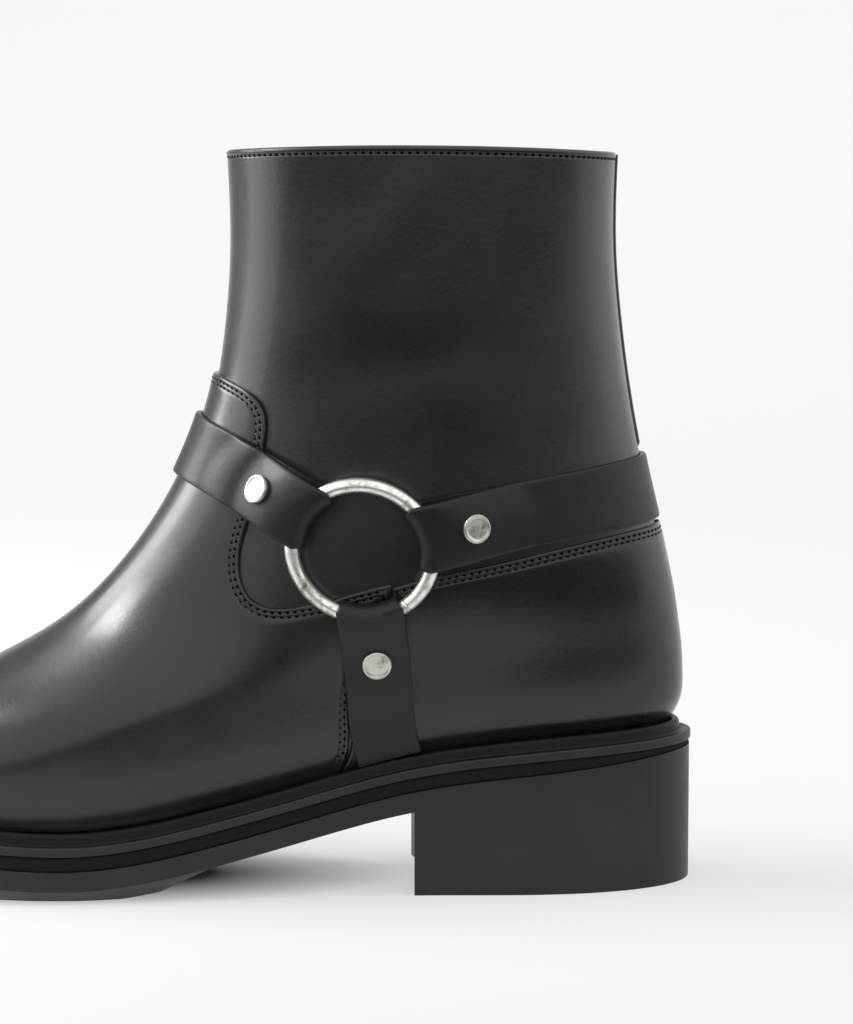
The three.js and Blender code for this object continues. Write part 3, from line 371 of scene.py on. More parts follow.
# The topline stands a little higher over the sides of the shaft than over its front and back
def topline_lift(level, angle):
    return TOPLINE_RISE * ease((np.asarray(level) - 0.9) / 0.1) * np.sin(angle) ** 2


def upper_point(level, angle, offset):
    face = upper_face(level, angle)
    normal = upper_normal(level, angle)
    lift = np.asarray(offset, float) + crease_height(face, normal)
    place = face + normal * lift[..., None]
    place[..., 2] += topline_lift(level, angle)
    return place


def find_on_upper(x, z, outer):
    x, z = np.broadcast_arrays(np.asarray(x, float), np.asarray(z, float))
    low = np.zeros(x.shape)
    high = np.ones(x.shape)
    turn = 1 if outer else -1
    for _ in range(40):
        level = (low + high) / 2
        front = place_along(profile_at["front"](level))
        rear = place_along(profile_at["back"](level))
        back = np.clip((x - front) / (rear - front), 0.0001, 0.9999)
        angle = np.arccos(1 - 2 * back) * turn
        below = upper_face(level, angle)[..., 2] < z
        low = np.where(below, level, low)
        high = np.where(below, high, level)
    return (low + high) / 2, angle


# The boot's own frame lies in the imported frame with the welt's box
coarse = sole_edge(np.arange(40) * math.pi / 20)
welt_low, welt_high = (np.array(corner) * 1000 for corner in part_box("welt"))
SHIFT = np.array([
    (welt_low[0] + welt_high[0]) / 2 - (coarse[:, 0].min() + coarse[:, 0].max()) / 2,
    (welt_low[1] + welt_high[1]) / 2 - (coarse[:, 1].min() + coarse[:, 1].max()) / 2,
    0,
])


# Meshes
def make(name, points, faces, material, swaps=(), sharp=None, slot=None):
    mesh = bpy.data.meshes.new(name)
    placed = (np.asarray(points, float).reshape(-1, 3) + SHIFT) / 1000
    mesh.from_pydata(placed.tolist(), [], [list(face) for face in faces])
    mesh.validate()
    mesh.polygons.foreach_set("use_smooth", [True] * len(mesh.polygons))
    if sharp:
        mesh.set_sharp_from_angle(angle=math.radians(sharp))
    thing = bpy.data.objects.new(name, mesh)
    bpy.context.scene.collection.objects.link(thing)
    mesh.materials.append(material)
    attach(thing, "boot")
    if swaps:
        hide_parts(*swaps)
    return thing


def grid_faces(rows, wide, around=False, along=False, first=0):
    faces = []
    row_count = rows if along else rows - 1
    column_count = wide if around else wide - 1
    for j in range(row_count):
        for i in range(column_count):
            a = j * wide + i
            b = j * wide + (i + 1) % wide
            c = ((j + 1) % rows) * wide + (i + 1) % wide
            d = ((j + 1) % rows) * wide + i
            faces.append((first + a, first + b, first + c, first + d))
    return faces


def turned_out(points, faces):
    points = np.asarray(points, float).reshape(-1, 3)
    total = 0
    for face in faces:
        for k in range(1, len(face) - 1):
            total += points[face[0]] @ np.cross(points[face[k]], points[face[k + 1]])
    return faces if total > 0 else [tuple(reversed(face)) for face in faces]


def link(name, loops, material, closed=True, caps=False, **how):
    loops = np.asarray(loops, float)
    rows, wide = loops.shape[:2]
    faces = grid_faces(rows, wide, around=True, along=closed)
    if caps:
        faces.append(tuple(reversed(range(wide))))
        faces.append(tuple((rows - 1) * wide + i for i in range(wide)))
    return make(name, loops, turned_out(loops, faces), material, **how)


# Materials
def shader(name, color, roughness, metallic=0.0, coat=0.0, coat_roughness=0.1, specular=0.5):
    material = bpy.data.materials.new(name)
    material.use_nodes = True
    surface = material.node_tree.nodes["Principled BSDF"]
    surface.inputs["Base Color"].default_value = (*color, 1)
    surface.inputs["Roughness"].default_value = roughness
    surface.inputs["Metallic"].default_value = metallic
    surface.inputs["Coat Weight"].default_value = coat
    surface.inputs["Coat Roughness"].default_value = coat_roughness
    surface.inputs["Specular IOR Level"].default_value = specular
    return material


class Nodes:
    def __init__(self, material):
        self.tree = material.node_tree
        self.surface = self.tree.nodes["Principled BSDF"]
        self.place = self.tree.nodes.new("ShaderNodeTexCoord").outputs["Object"]

    def add(self, kind, **inputs):
        node = self.tree.nodes.new(kind)
        for name, value in inputs.items():
            socket = node.inputs[name.replace("_", " ")]
            if isinstance(value, bpy.types.NodeSocket):
                self.tree.links.new(value, socket)
            else:
                socket.default_value = value
        return node

    def link(self, source, target):
        self.tree.links.new(source, target)

    def stretched(self, scale):
        node = self.add("ShaderNodeMapping", Vector=self.place)
        node.inputs["Scale"].default_value = scale
        return node.outputs["Vector"]

    def noise(self, scale, detail=3.0, roughness=0.5, vector=None):
        vector = self.place if vector is None else vector
        return self.add("ShaderNodeTexNoise", Vector=vector, Scale=scale, Detail=detail, Roughness=roughness)

    def cells(self, scale, vector=None):
        vector = self.place if vector is None else vector
        return self.add("ShaderNodeTexVoronoi", Vector=vector, Scale=scale)

    def spread(self, value, low, high, to_low, to_high):
        node = self.add("ShaderNodeMapRange", Value=value)
        node.inputs["From Min"].default_value = low
        node.inputs["From Max"].default_value = high
        node.inputs["To Min"].default_value = to_low
        node.inputs["To Max"].default_value = to_high
        return node.outputs["Result"]

    def math(self, operation, a, b):
        node = self.tree.nodes.new("ShaderNodeMath")
        node.operation = operation
        for socket, value in zip(node.inputs, (a, b)):
            if isinstance(value, bpy.types.NodeSocket):
                self.tree.links.new(value, socket)
            else:
                socket.default_value = value
        return node.outputs["Value"]

    def colours(self, value, stops):
        node = self.add("ShaderNodeValToRGB", Fac=value)
        ramp = node.color_ramp
        while len(ramp.elements) < len(stops):
            ramp.elements.new(0.5)
        for element, (spot, color) in zip(ramp.elements, stops):
            element.position = spot
            element.color = (*color, 1)
        return node.outputs["Color"]

    def bumps(self, *layers):
        normal = None
        for height, strength, distance in layers:
            node = self.add("ShaderNodeBump", Height=height, Strength=strength, Distance=distance)
            if normal is not None:
                self.link(normal, node.inputs["Normal"])
            normal = node.outputs["Normal"]
        self.link(normal, self.surface.inputs["Normal"])
        return normal


def leather(name, dark, light, gloss, coat, grain, specular=0.5):
    material = shader(name, dark, gloss, coat=coat, coat_roughness=0.17, specular=specular)
    nodes = Nodes(material)
    cloud = nodes.noise(26, detail=4, roughness=0.55).outputs["Fac"]
    patch = nodes.noise(9, detail=2).outputs["Fac"]
    fine = nodes.noise(900, detail=3, roughness=0.6).outputs["Fac"]
    pores = nodes.cells(620).outputs["Distance"]
    nodes.link(nodes.colours(cloud, ((0.25, dark), (0.75, light))), nodes.surface.inputs["Base Color"])
    base = nodes.spread(cloud, 0.3, 0.7, gloss - 0.05, gloss + 0.07)
    rough = nodes.math("ADD", base, nodes.spread(fine, 0.3, 0.7, -0.03, 0.03))
    nodes.link(rough, nodes.surface.inputs["Roughness"])
    nodes.bumps((patch, 0.35, 0.0016), (cloud, 0.30, 0.0005), (pores, grain, 0.00012), (fine, grain, 0.00008))
    return material


BLACK = (0.0050, 0.0048, 0.0046)
BLACK_LIGHT = (0.0095, 0.0091, 0.0086)
shaft_leather = leather("shaft_leather", BLACK, BLACK_LIGHT, 0.34, 0.35, 0.22)
vamp_leather = leather("vamp_leather", BLACK, BLACK_LIGHT, 0.30, 0.28, 0.18, 0.44)
counter_leather = leather("counter_leather", BLACK, BLACK_LIGHT, 0.27, 0.36, 0.20, 0.36)
strap_leather = leather("strap_leather", BLACK, BLACK_LIGHT, 0.42, 0.12, 0.26, 0.30)
lining_leather = leather("lining_leather", (0.018, 0.016, 0.014), (0.030, 0.026, 0.023), 0.62, 0.0, 0.30)

thread = shader("thread", (0.010, 0.010, 0.010), 0.48, coat=0.1)
nodes = Nodes(thread)
twist = nodes.add("ShaderNodeTexWave", Vector=nodes.place, Scale=900.0, Distortion=2.0).outputs["Fac"]
nodes.link(nodes.spread(twist, 0, 1, 0.42, 0.58), nodes.surface.inputs["Roughness"])
nodes.bumps((twist, 0.3, 0.0001))


def rubber(name, dark, light, gloss, specular):
    material = shader(name, light, gloss, coat=0.05, coat_roughness=0.25, specular=specular)
    nodes = Nodes(material)
    rub = nodes.noise(60, detail=4).outputs["Fac"]
    lines = nodes.noise(1400, detail=2, vector=nodes.stretched((0.08, 0.08, 1))).outputs["Fac"]
    nodes.link(nodes.spread(rub, 0.3, 0.7, gloss - 0.05, gloss + 0.07), nodes.surface.inputs["Roughness"])
    nodes.link(nodes.colours(rub, ((0.3, dark), (0.8, light))), nodes.surface.inputs["Base Color"])
    nodes.bumps((rub, 0.25, 0.0004), (lines, 0.45, 0.00015))
    return material


edge_rubber = rubber("edge_rubber", (0.006, 0.006, 0.006), (0.012, 0.012, 0.012), 0.41, 0.36)
# A darker, less shiny copy of the edge rubber: painted shade for the welt's bead and flange top at the foot
# of the upper
bead_rubber_painted_shade = rubber("bead_rubber_painted_shade", (0.002, 0.002, 0.002), (0.005, 0.005, 0.005), 0.38, 0.16)

milled = shader("milled_edge", (0.004, 0.004, 0.004), 0.78, specular=0.18)
nodes = Nodes(milled)
ridges = nodes.noise(1100, detail=3, vector=nodes.stretched((1, 1, 0.12))).outputs["Fac"]
crumbs = nodes.noise(700, detail=4, roughness=0.7).outputs["Fac"]
nodes.link(nodes.colours(crumbs, ((0.35, (0.002, 0.002, 0.002)), (0.75, (0.010, 0.010, 0.010)))),
           nodes.surface.inputs["Base Color"])
nodes.link(nodes.spread(crumbs, 0.3, 0.7, 0.66, 0.92), nodes.surface.inputs["Roughness"])
nodes.bumps((ridges, 0.6, 0.0004), (crumbs, 0.6, 0.0004))


def antique(name, dark, middle, bright):
    material = shader(name, middle, 0.30, metallic=1.0)
    nodes = Nodes(material)
    stain = nodes.noise(170, detail=6, roughness=0.65).outputs["Fac"]
    specks = nodes.noise(900, detail=3, roughness=0.6).outputs["Fac"]
    mixed = nodes.math("ADD", nodes.math("MULTIPLY", stain, 0.8), nodes.math("MULTIPLY", specks, 0.2))
    nodes.link(nodes.colours(mixed, ((0.34, dark), (0.42, middle), (0.51, bright))),
               nodes.surface.inputs["Base Color"])
    nodes.link(nodes.spread(mixed, 0.38, 0.62, 0.46, 0.24), nodes.surface.inputs["Roughness"])
    nodes.bumps((stain, 0.22, 0.0004), (specks, 0.22, 0.0001))
    return material


nickel = antique("antique_nickel", (0.22, 0.21, 0.18), (0.60, 0.58, 0.53), (0.90, 0.88, 0.83))
# The rivets take a darker copy of the ring's nickel: painted shade that tones down their bright reflections
rivet_nickel_shaded = antique("rivet_nickel_shaded", (0.14, 0.13, 0.11), (0.38, 0.37, 0.33), (0.58, 0.56, 0.52))

# Near-black flat discs: painted shade standing in for the needle holes, mottled at random
needle_hole_shade = shader("needle_hole_shade", (0.001, 0.001, 0.001), 0.9, specular=0.05)
nodes = Nodes(needle_hole_shade)
hole_shade_mottle = nodes.noise(800, detail=2).outputs["Fac"]
nodes.link(nodes.colours(hole_shade_mottle, ((0.3, (0.0008, 0.0008, 0.0008)), (0.7, (0.002, 0.002, 0.002)))),
           nodes.surface.inputs["Base Color"])

zip_metal = shader("zip_metal", (0.42, 0.41, 0.38), 0.34, metallic=1.0)
nodes = Nodes(zip_metal)
wear = nodes.noise(600, detail=4).outputs["Fac"]
nodes.link(nodes.spread(wear, 0.3, 0.7, 0.26, 0.44), nodes.surface.inputs["Roughness"])
nodes.link(nodes.colours(wear, ((0.3, (0.30, 0.29, 0.27)), (0.7, (0.50, 0.49, 0.46)))),
           nodes.surface.inputs["Base Color"])
nodes.bumps((wear, 0.2, 0.0001))

tape_cloth = shader("zip_tape_cloth", (0.008, 0.008, 0.008), 0.9)
nodes = Nodes(tape_cloth)
weave = nodes.add("ShaderNodeTexWave", Vector=nodes.place, Scale=700.0, Distortion=0.6).outputs["Fac"]
nodes.link(nodes.colours(weave, ((0.2, (0.005, 0.005, 0.005)), (0.8, (0.014, 0.014, 0.014)))),
           nodes.surface.inputs["Base Color"])
nodes.link(nodes.spread(weave, 0, 1, 0.82, 0.95), nodes.surface.inputs["Roughness"])
nodes.bumps((weave, 0.6, 0.0002))


# Upper: outer face, rolled rim and lining. Two columns of its grid follow the sides of the zip's slot
ZIP_X = place_along(ZIP_FROM_HEEL / SOLE_LENGTH)
UPPER_COLUMNS = 360
SLOT_FROM = 250
SLOT_TO = 256
TOP_RISE = 313.0
TOP_STITCH_DROP = 2.3


def slot_angle(level, shift):
    front = place_along(profile_at["front"](level))
    rear = place_along(profile_at["back"](level))
    back = np.clip((ZIP_X + shift - front) / (rear - front), 0, 1)
    return 2 * math.pi - np.arccos(1 - 2 * back)


def slot_half(level):
    radius = ZIP_SLOT_WIDTH / 2
    z = upper_face(level, slot_angle(level, 0))[2]
    below = np.clip((ZIP_FOOT + radius - z) / radius, 0, 1)
    return max(radius * math.sqrt(1 - below * below), 0.2)


def warped_angles(level):
    even = np.linspace(0, 2 * math.pi, UPPER_COLUMNS, endpoint=False)
    half = slot_half(level)
    sides = sorted((float(slot_angle(level, half)), float(slot_angle(level, -half))))
    return np.interp(even, (0, even[SLOT_FROM], even[SLOT_TO], 2 * math.pi), (0, *sides, 2 * math.pi))


def topline(level):
    below = (1 - level) * TOP_RISE
    piping = 0.22 * math.exp(-((below - 1.1) / 0.75) ** 2)
    trough = 0.20 * math.exp(-((below - TOP_STITCH_DROP) / 0.35) ** 2)
    return piping - trough


UPPER_LEVELS = np.concatenate([np.linspace(0, 0.985, 170) ** 1.04, np.linspace(0.986, 1, 24)])
slot_rows = [upper_face(level, slot_angle(level, 0))[2] > ZIP_FOOT for level in UPPER_LEVELS]
outer_loops = [upper_point(np.full(UPPER_COLUMNS, v), warped_angles(v), topline(v)) for v in UPPER_LEVELS]
inner_loops = [upper_point(np.full(UPPER_COLUMNS, v), warped_angles(v), -WALL) for v in UPPER_LEVELS]
RIM_DROP = 1.0
rim_loops = []
for turn in np.linspace(0, math.pi, 9):
    across = (1 - math.cos(turn)) / 2
    rise = RIM_DROP * (math.sin(turn) - 1)
    rim_loops.append(mix(outer_loops[-1], inner_loops[-1], across) + np.array([0, 0, rise]))


def below_rim(loops):
    return [loop for loop in loops[:-1] if loop[:, 2].max() < BOOT_HEIGHT + TOPLINE_RISE - RIM_DROP - 0.05]


def with_slot(name, loops, open_rows, material, **how):
    loops = np.asarray(loops)
    rows = len(loops)
    kept = []
    for j in range(rows - 1):
        for i in range(UPPER_COLUMNS):
            if open_rows[j] and open_rows[j + 1] and SLOT_FROM <= i < SLOT_TO:
                continue
            beside = (i + 1) % UPPER_COLUMNS
            first, second = j * UPPER_COLUMNS, (j + 1) * UPPER_COLUMNS
            kept.append((first + i, first + beside, second + beside, second + i))
    return make(name, loops, turned_out(loops, kept), material, **how)


outer_part = below_rim(outer_loops)
inner_part = below_rim(inner_loops)
outer_open = slot_rows[:len(outer_part)] + [True] * len(rim_loops)
with_slot("upper_shell", outer_part + rim_loops, outer_open, shaft_leather, swaps=("upper",))
lining_open = slot_rows[:len(inner_part)] + [True]
lining = with_slot("upper_lining", inner_part + rim_loops[-1:], lining_open, lining_leather, slot="lining")
lining.data.flip_normals()
for side, column in (("front", SLOT_FROM), ("back", SLOT_TO)):
    rows = [j for j in range(len(outer_part)) if slot_rows[j]]
    strip = [[outer_part[j][column], inner_part[min(j, len(inner_part) - 1)][column]] for j in rows]
    strip.append([rim_loops[0][column], rim_loops[-1][column]])
    make(f"zip_slot_{side}", strip, grid_faces(len(strip), 2), shaft_leather, slot="upper_leather")


# Sole layers
SOLE_ANGLES = np.linspace(0, 2 * math.pi, 420, endpoint=False)


def sole_loop(inset, height):
    edge = sole_inset(SOLE_ANGLES, inset)
    z = height(edge[:, 0]) if callable(height) else np.full(len(edge), float(height))
    return np.column_stack([edge, z])


def welt_at(rise):
    return lambda x: welt_top(x) + rise


def rounded(points, radius, steps=3):
    result = []
    count = len(points)
    for i in range(count):
        here = np.array(points[i], float)
        before = np.array(points[i - 1], float) - here
        after = np.array(points[(i + 1) % count], float) - here
        reach = min(radius, np.linalg.norm(before) / 2.2, np.linalg.norm(after) / 2.2)
        start = here + before / np.linalg.norm(before) * reach
        end = here + after / np.linalg.norm(after) * reach
        for k in range(steps + 1):
            t = k / steps
            result.append((1 - t) ** 2 * start + 2 * t * (1 - t) * here + t * t * end)
    return result


def make_welt():
    bead_foot = WELT_REACH - BEAD_THICKNESS
    lean = TUCK_LEAN * COUNTER_SWELL
    section = [
        (WELT_REACH + WELT_SHELF, -WELT_THICKNESS),
        (0, -WELT_THICKNESS),
        (0, 0),
        (0.45 * bead_foot, 0),
        (0.75 * bead_foot, -0.15 * BEAD_HEIGHT),
        (bead_foot, 0),
        (bead_foot + 0.1 * BEAD_THICKNESS, 0.75 * BEAD_HEIGHT),
        (bead_foot + 0.5 * BEAD_THICKNESS, BEAD_HEIGHT),
        (WELT_REACH, 0.9 * BEAD_HEIGHT),
        (WELT_REACH + lean, 0),
        (WELT_REACH + WELT_SHELF, 0),
    ]
    return [sole_loop(inset, welt_at(rise)) for inset, rise in rounded(section, 0.7)]


# The bead and the flange's top take a darker, less shiny rubber than the edge: painted shade at the foot of
# the upper
EDGE_ROWS = 12
welt = link("welt_fine", make_welt(), edge_rubber, swaps=("welt",))
welt.data.materials.append(bead_rubber_painted_shade)
for face in welt.data.polygons:
    face.material_index = 1 if face.index >= EDGE_ROWS * len(SOLE_ANGLES) else 0


def make_midsole():
    core = WELT_REACH + WELT_SHELF + GAP
    loops = [sole_loop(core, midsole_bottom)]
    for share in np.linspace(0, 1, 7):
        inset = MIDSOLE_SET_BACK - 0.25 * math.sin(math.pi * share)
        loops.append(sole_loop(inset, lambda x, s=share: mix(midsole_bottom(x), welt_bottom(x) - 0.02, s)))
    loops.append(sole_loop(core, lambda x: welt_bottom(x) - 0.02))
    loops.append(sole_loop(core, welt_top))
    return loops


link("midsole_fine", make_midsole(), milled, closed=False, caps=True, swaps=("midsole",))


def make_outsole():
    top = lambda x: midsole_bottom(x) - 0.02
    edge = lambda x: midsole_bottom(x) - GAP - OUTSOLE_EDGE

    def forefoot(x):
        return np.clip((share_along(x) - 0.54) / 0.07, 0, 1)

    def tread(x):
        return edge(x) - mix(WAIST_BEVEL, TREAD_DEPTH, forefoot(x))

    def solid(name, loops):
        loops = np.asarray(loops)
        rows, wide = loops.shape[:2]
        faces = grid_faces(rows, wide, around=True)
        half = wide // 2
        for base, flip in ((0, True), ((rows - 1) * wide, False)):
            for i in range(half):
                quad = (base + i, base + (i + 1), base + wide - i - 1, base + (wide - i) % wide)
                quad = tuple(dict.fromkeys(quad))
                if len(quad) > 2:
                    faces.append(tuple(reversed(quad)) if flip else quad)
        mesh = bpy.data.meshes.new(name)
        mesh.from_pydata(loops.reshape(-1, 3).tolist(), [], turned_out(loops, faces))
        mesh.update()
        thing = bpy.data.objects.new(name, mesh)
        bpy.context.scene.collection.objects.link(thing)
        return thing

    block = solid("block", [
        sole_loop(OUTSOLE_SET_BACK + 0.5, 0),
        sole_loop(OUTSOLE_SET_BACK + 0.1, 0.15),
        sole_loop(OUTSOLE_SET_BACK, 0.6),
        sole_loop(OUTSOLE_SET_BACK, lambda x: mix(0.6, top(x), 0.5)),
        sole_loop(OUTSOLE_SET_BACK, top),
    ])
    outside = 4
    bevel = TREAD_INSET - OUTSOLE_SET_BACK
    flare = lambda x: edge(x) + (edge(x) - tread(x)) * (outside + OUTSOLE_SET_BACK) / bevel
    under = solid("under", [
        sole_loop(-outside, -outside),
        sole_loop(-outside, flare),
        sole_loop(TREAD_INSET, tread),
    ])
    breast = place_along(HEEL_LENGTH / SOLE_LENGTH)
    plan = [(-SOLE_LENGTH, -90), (breast, -90)]
    for t in np.linspace(0, 1, 17):
        first = np.array([breast, -HEEL_WIDTH / 2])
        middle = np.array([breast + 2 * BREAST_HOLLOW, 0])
        last = np.array([breast - BREAST_SKEW, HEEL_WIDTH / 2])
        plan.append(tuple((1 - t) ** 2 * first + 2 * t * (1 - t) * middle + t * t * last))
    plan += [(breast - BREAST_SKEW, 90), (-SOLE_LENGTH, 90)]
    mesh = bpy.data.meshes.new("ahead")
    wide = len(plan)
    points = [(x, y, -20) for x, y in plan] + [(x, y, 80) for x, y in plan]
    faces = [(i, (i + 1) % wide, wide + (i + 1) % wide, wide + i) for i in range(wide)]
    faces += [tuple(reversed(range(wide))), tuple(range(wide, 2 * wide))]
    mesh.from_pydata(points, [], turned_out(points, faces))
    mesh.update()
    ahead = bpy.data.objects.new("ahead", mesh)
    bpy.context.scene.collection.objects.link(ahead)
    for target, tool, operation in ((under, ahead, "INTERSECT"), (block, under, "DIFFERENCE")):
        cut = target.modifiers.new("cut", "BOOLEAN")
        cut.operation = operation
        cut.solver = "EXACT"
        cut.object = tool
        made = bpy.data.meshes.new_from_object(target.evaluated_get(bpy.context.evaluated_depsgraph_get()))
        target.modifiers.clear()
        target.data = made
    mesh = block.data
    points = np.array([vertex.co[:] for vertex in mesh.vertices])
    faces = [tuple(polygon.vertices) for polygon in mesh.polygons]
    for thing in (block, under, ahead):
        bpy.data.objects.remove(thing, do_unlink=True)
    return points, faces


outsole_points, outsole_faces = make_outsole()
make("outsole_fine", outsole_points, outsole_faces, edge_rubber, swaps=("outsole_and_heel",), sharp=28)


def make_insole():
    inset = FEATHER_INSET + TUCK_LEAN * COUNTER_SWELL + WALL + GAP
    low = lambda x: welt_top(x) + GAP
    high = lambda x: low(x) + INSOLE_THICKNESS
    rows = [sole_loop(inset, low), sole_loop(inset, high)]
    shares = np.linspace(1, 0, 14)[1:]
    edge = rows[-1]
    spine = edge.copy()
    spine[:, 1] = plan_at["centre"](share_along(edge[:, 0])) * BALL_WIDTH
    for share in shares:
        loop = mix(spine, edge, share)
        loop[:, 2] = high(loop[:, 0])
        rows.append(loop)
    return rows


link("insole_fine", make_insole(), lining_leather, closed=False, swaps=("insole",))


# Overlays: an outline in the plane of angle and level, filled with points and trimmed to its edge
def tangents(level, angle):
    step = 0.002
    across = (upper_face(level, angle + step) - upper_face(level, angle - step)) / (2 * step)
    low = np.maximum(np.asarray(level) - step, 0)
    high = np.minimum(np.asarray(level) + step, 1)
    up = (upper_face(high, angle) - upper_face(low, angle)) / (high - low)[..., None]
    return across, up


def moved(level, angle, way, distance):
    across, up = tangents(level, angle)
    aa = (across * across).sum(-1)
    uu = (up * up).sum(-1)
    au = (across * up).sum(-1)
    wa = (way * across).sum(-1) * distance
    wu = (way * up).sum(-1) * distance
    scale = aa * uu - au * au
    return level + (aa * wu - au * wa) / scale, angle + (uu * wa - au * wu) / scale


def resampled(points, spacing, closed):
    points = np.asarray(points, float)
    if closed:
        points = np.vstack([points, points[:1]])
    place = upper_face(points[:, 0], points[:, 1])
    run = np.concatenate([[0], np.cumsum(np.linalg.norm(np.diff(place, axis=0), axis=1))])
    count = max(3, int(round(run[-1] / spacing)))
    spots = np.linspace(0, run[-1], count + 1)
    if closed:
        spots = spots[:-1]
    return np.column_stack([np.interp(spots, run, points[:, 0]), np.interp(spots, run, points[:, 1])])


def inward_ways(edge):
    ahead = np.roll(edge, -1, axis=0)
    behind = np.roll(edge, 1, axis=0)
    way = upper_face(ahead[:, 0], ahead[:, 1]) - upper_face(behind[:, 0], behind[:, 1])
    way = way / np.linalg.norm(way, axis=1, keepdims=True)
    inward = np.cross(upper_normal(edge[:, 0], edge[:, 1]), way)
    level, angle = moved(edge[:, 0], edge[:, 1], inward, 1.0)
    flat = ahead - behind
    turn = flat[:, 0] * (angle - edge[:, 1]) - flat[:, 1] * (level - edge[:, 0])
    area = (edge[:, 0] * ahead[:, 1] - ahead[:, 0] * edge[:, 1]).sum()
    return inward * np.where(turn * area > 0, 1, -1)[:, None]


def inset_line(edge, distance):
    level, angle = moved(edge[:, 0], edge[:, 1], inward_ways(edge), distance)
    return np.column_stack([level, angle])


def inside_of(edge, points):
    inside = np.zeros(len(points), bool)
    ahead = np.roll(edge, -1, axis=0)
    for (y0, x0), (y1, x1) in zip(edge, ahead):
        if y0 == y1:
            continue
        crosses = (y0 > points[:, 0]) != (y1 > points[:, 0])
        at = x0 + (points[:, 0] - y0) / (y1 - y0) * (x1 - x0)
        inside ^= crosses & (points[:, 1] < at)
    return inside


# Rings inside an overlay's edge: distance from it and drop below its face, with a channel for each stitch row
STITCH_INSETS = (1.6, 3.1)
CHANNEL_DEPTH = 0.20
EDGE_RINGS = (
    (0.00, 0.55), (0.14, 0.26), (0.36, 0.07), (0.75, 0.0), (1.20, 0.0), (1.60, CHANNEL_DEPTH), (2.00, 0.0),
    (2.35, 0.0), (2.70, 0.0), (3.10, CHANNEL_DEPTH), (3.50, 0.0), (4.20, 0.0),
)
FIELD_FROM = 5.0
ANGLE_SCALE = 75
LEVEL_SCALE = 240
PUFF = 0.2
PUFF_RUN = 6
EDGE_TUCK = 0.32


def patch(name, outline, thickness, material, swaps):
    edge = resampled(outline, 0.75, True)
    face = upper_face(edge[:, 0], edge[:, 1])
    tree = kdtree.KDTree(len(edge))
    for i, point in enumerate(face):
        tree.insert(point, i)
    tree.balance()
    angles = np.arange(edge[:, 1].min(), edge[:, 1].max(), 0.018)
    levels = np.arange(edge[:, 0].min(), edge[:, 0].max(), 0.0062)
    field = np.array([(level, angle) for level in levels for angle in angles])
    field = field[inside_of(edge, field)]
    place = upper_face(field[:, 0], field[:, 1])
    away = np.array([tree.find(point)[2] for point in place])
    field = field[away > FIELD_FROM]
    away = away[away > FIELD_FROM]
    domain = [edge]
    reach = [np.zeros(len(edge))]
    for inset, _ in EDGE_RINGS[1:]:
        line = inset_line(edge, inset)
        place = upper_face(line[:, 0], line[:, 1])
        near = np.array([tree.find(point)[2] for point in place])
        keep = (near > inset * 0.9) & inside_of(edge, line)
        domain.append(line[keep])
        reach.append(near[keep])
    domain.append(field)
    reach.append(away)
    domain = np.vstack(domain)
    reach = np.concatenate(reach)
    flat = [Vector((angle * ANGLE_SCALE, level * LEVEL_SCALE)) for level, angle in domain]
    count = len(edge)
    bounds = [(i, (i + 1) % count) for i in range(count)]
    spots, _, faces, origin, _, _ = geometry.delaunay_2d_cdt(flat, bounds, [], 1, 1e-6)
    order = [where[0] if where else -1 for where in origin]
    kept_domain = []
    for i, spot in zip(order, spots):
        kept_domain.append(domain[i] if i >= 0 else (spot.y / LEVEL_SCALE, spot.x / ANGLE_SCALE))
    kept_domain = np.array(kept_domain)
    kept_reach = np.array([reach[i] if i >= 0 else 0 for i in order])
    insets, drops = zip(*EDGE_RINGS)
    drop = np.interp(kept_reach, insets, drops) * min(1, thickness / VAMP_THICKNESS)
    drop = drop * ease((kept_domain[:, 0] - 0.03) / 0.03)
    swell = PUFF * ease(kept_reach / PUFF_RUN)
    top = upper_point(kept_domain[:, 0], kept_domain[:, 1], GAP + thickness - drop + swell)
    rim = [order.index(i) for i in range(count)]
    low = upper_point(edge[:, 0], edge[:, 1], np.full(count, GAP - EDGE_TUCK))
    start = len(top)
    faces = [tuple(f) for f in faces]
    a, b, c = faces[0][:3]
    outward = upper_normal(kept_domain[a, 0], kept_domain[a, 1])
    if np.cross(top[b] - top[a], top[c] - top[a]) @ outward < 0:
        faces = [tuple(reversed(f)) for f in faces]
    area = (edge[:, 0] * np.roll(edge[:, 1], -1) - np.roll(edge[:, 0], -1) * edge[:, 1]).sum()
    walls = []
    for i in range(count):
        j = (i + 1) % count
        quad = (rim[i], rim[j], start + j, start + i)
        walls.append(quad if area > 0 else tuple(reversed(quad)))
    points = np.vstack([top, low])
    make(name, points, faces + walls, material, swaps=swaps)
    return edge


def both_sides(line):
    level, angle = find_on_upper(line[:, 0], line[:, 1], True)
    outer = np.column_stack([level, angle])
    return outer, np.column_stack([level, -angle])


def smooth_line(points, steps=8):
    points = np.asarray(points, float)
    run = np.concatenate([[0], np.cumsum(np.linalg.norm(np.diff(points, axis=0), axis=1))])
    spots = np.linspace(0, run[-1], (len(points) - 1) * steps + 1)
    curves = [spline(run, points[:, k]) for k in (0, 1)]
    return np.column_stack([curve(spots) for curve in curves])


def edge_of_level(level, start, end, count):
    return np.column_stack([np.full(count, level), np.linspace(start, end, count)])


# Vamp outline: up its back edge, round the tab, along its top to the front, and the same on the inner side
vamp_top = smooth_line(side_points(VAMP_EDGE))
vamp_back = smooth_line(side_points(VAMP_BACK_EDGE))
FRONT_ANGLE = 0.10
LOW_LEVEL = 0.012


def foot_of(line):
    below = line[-1] + np.array([-4.0, -16.0])
    return np.vstack([line, below[None]])


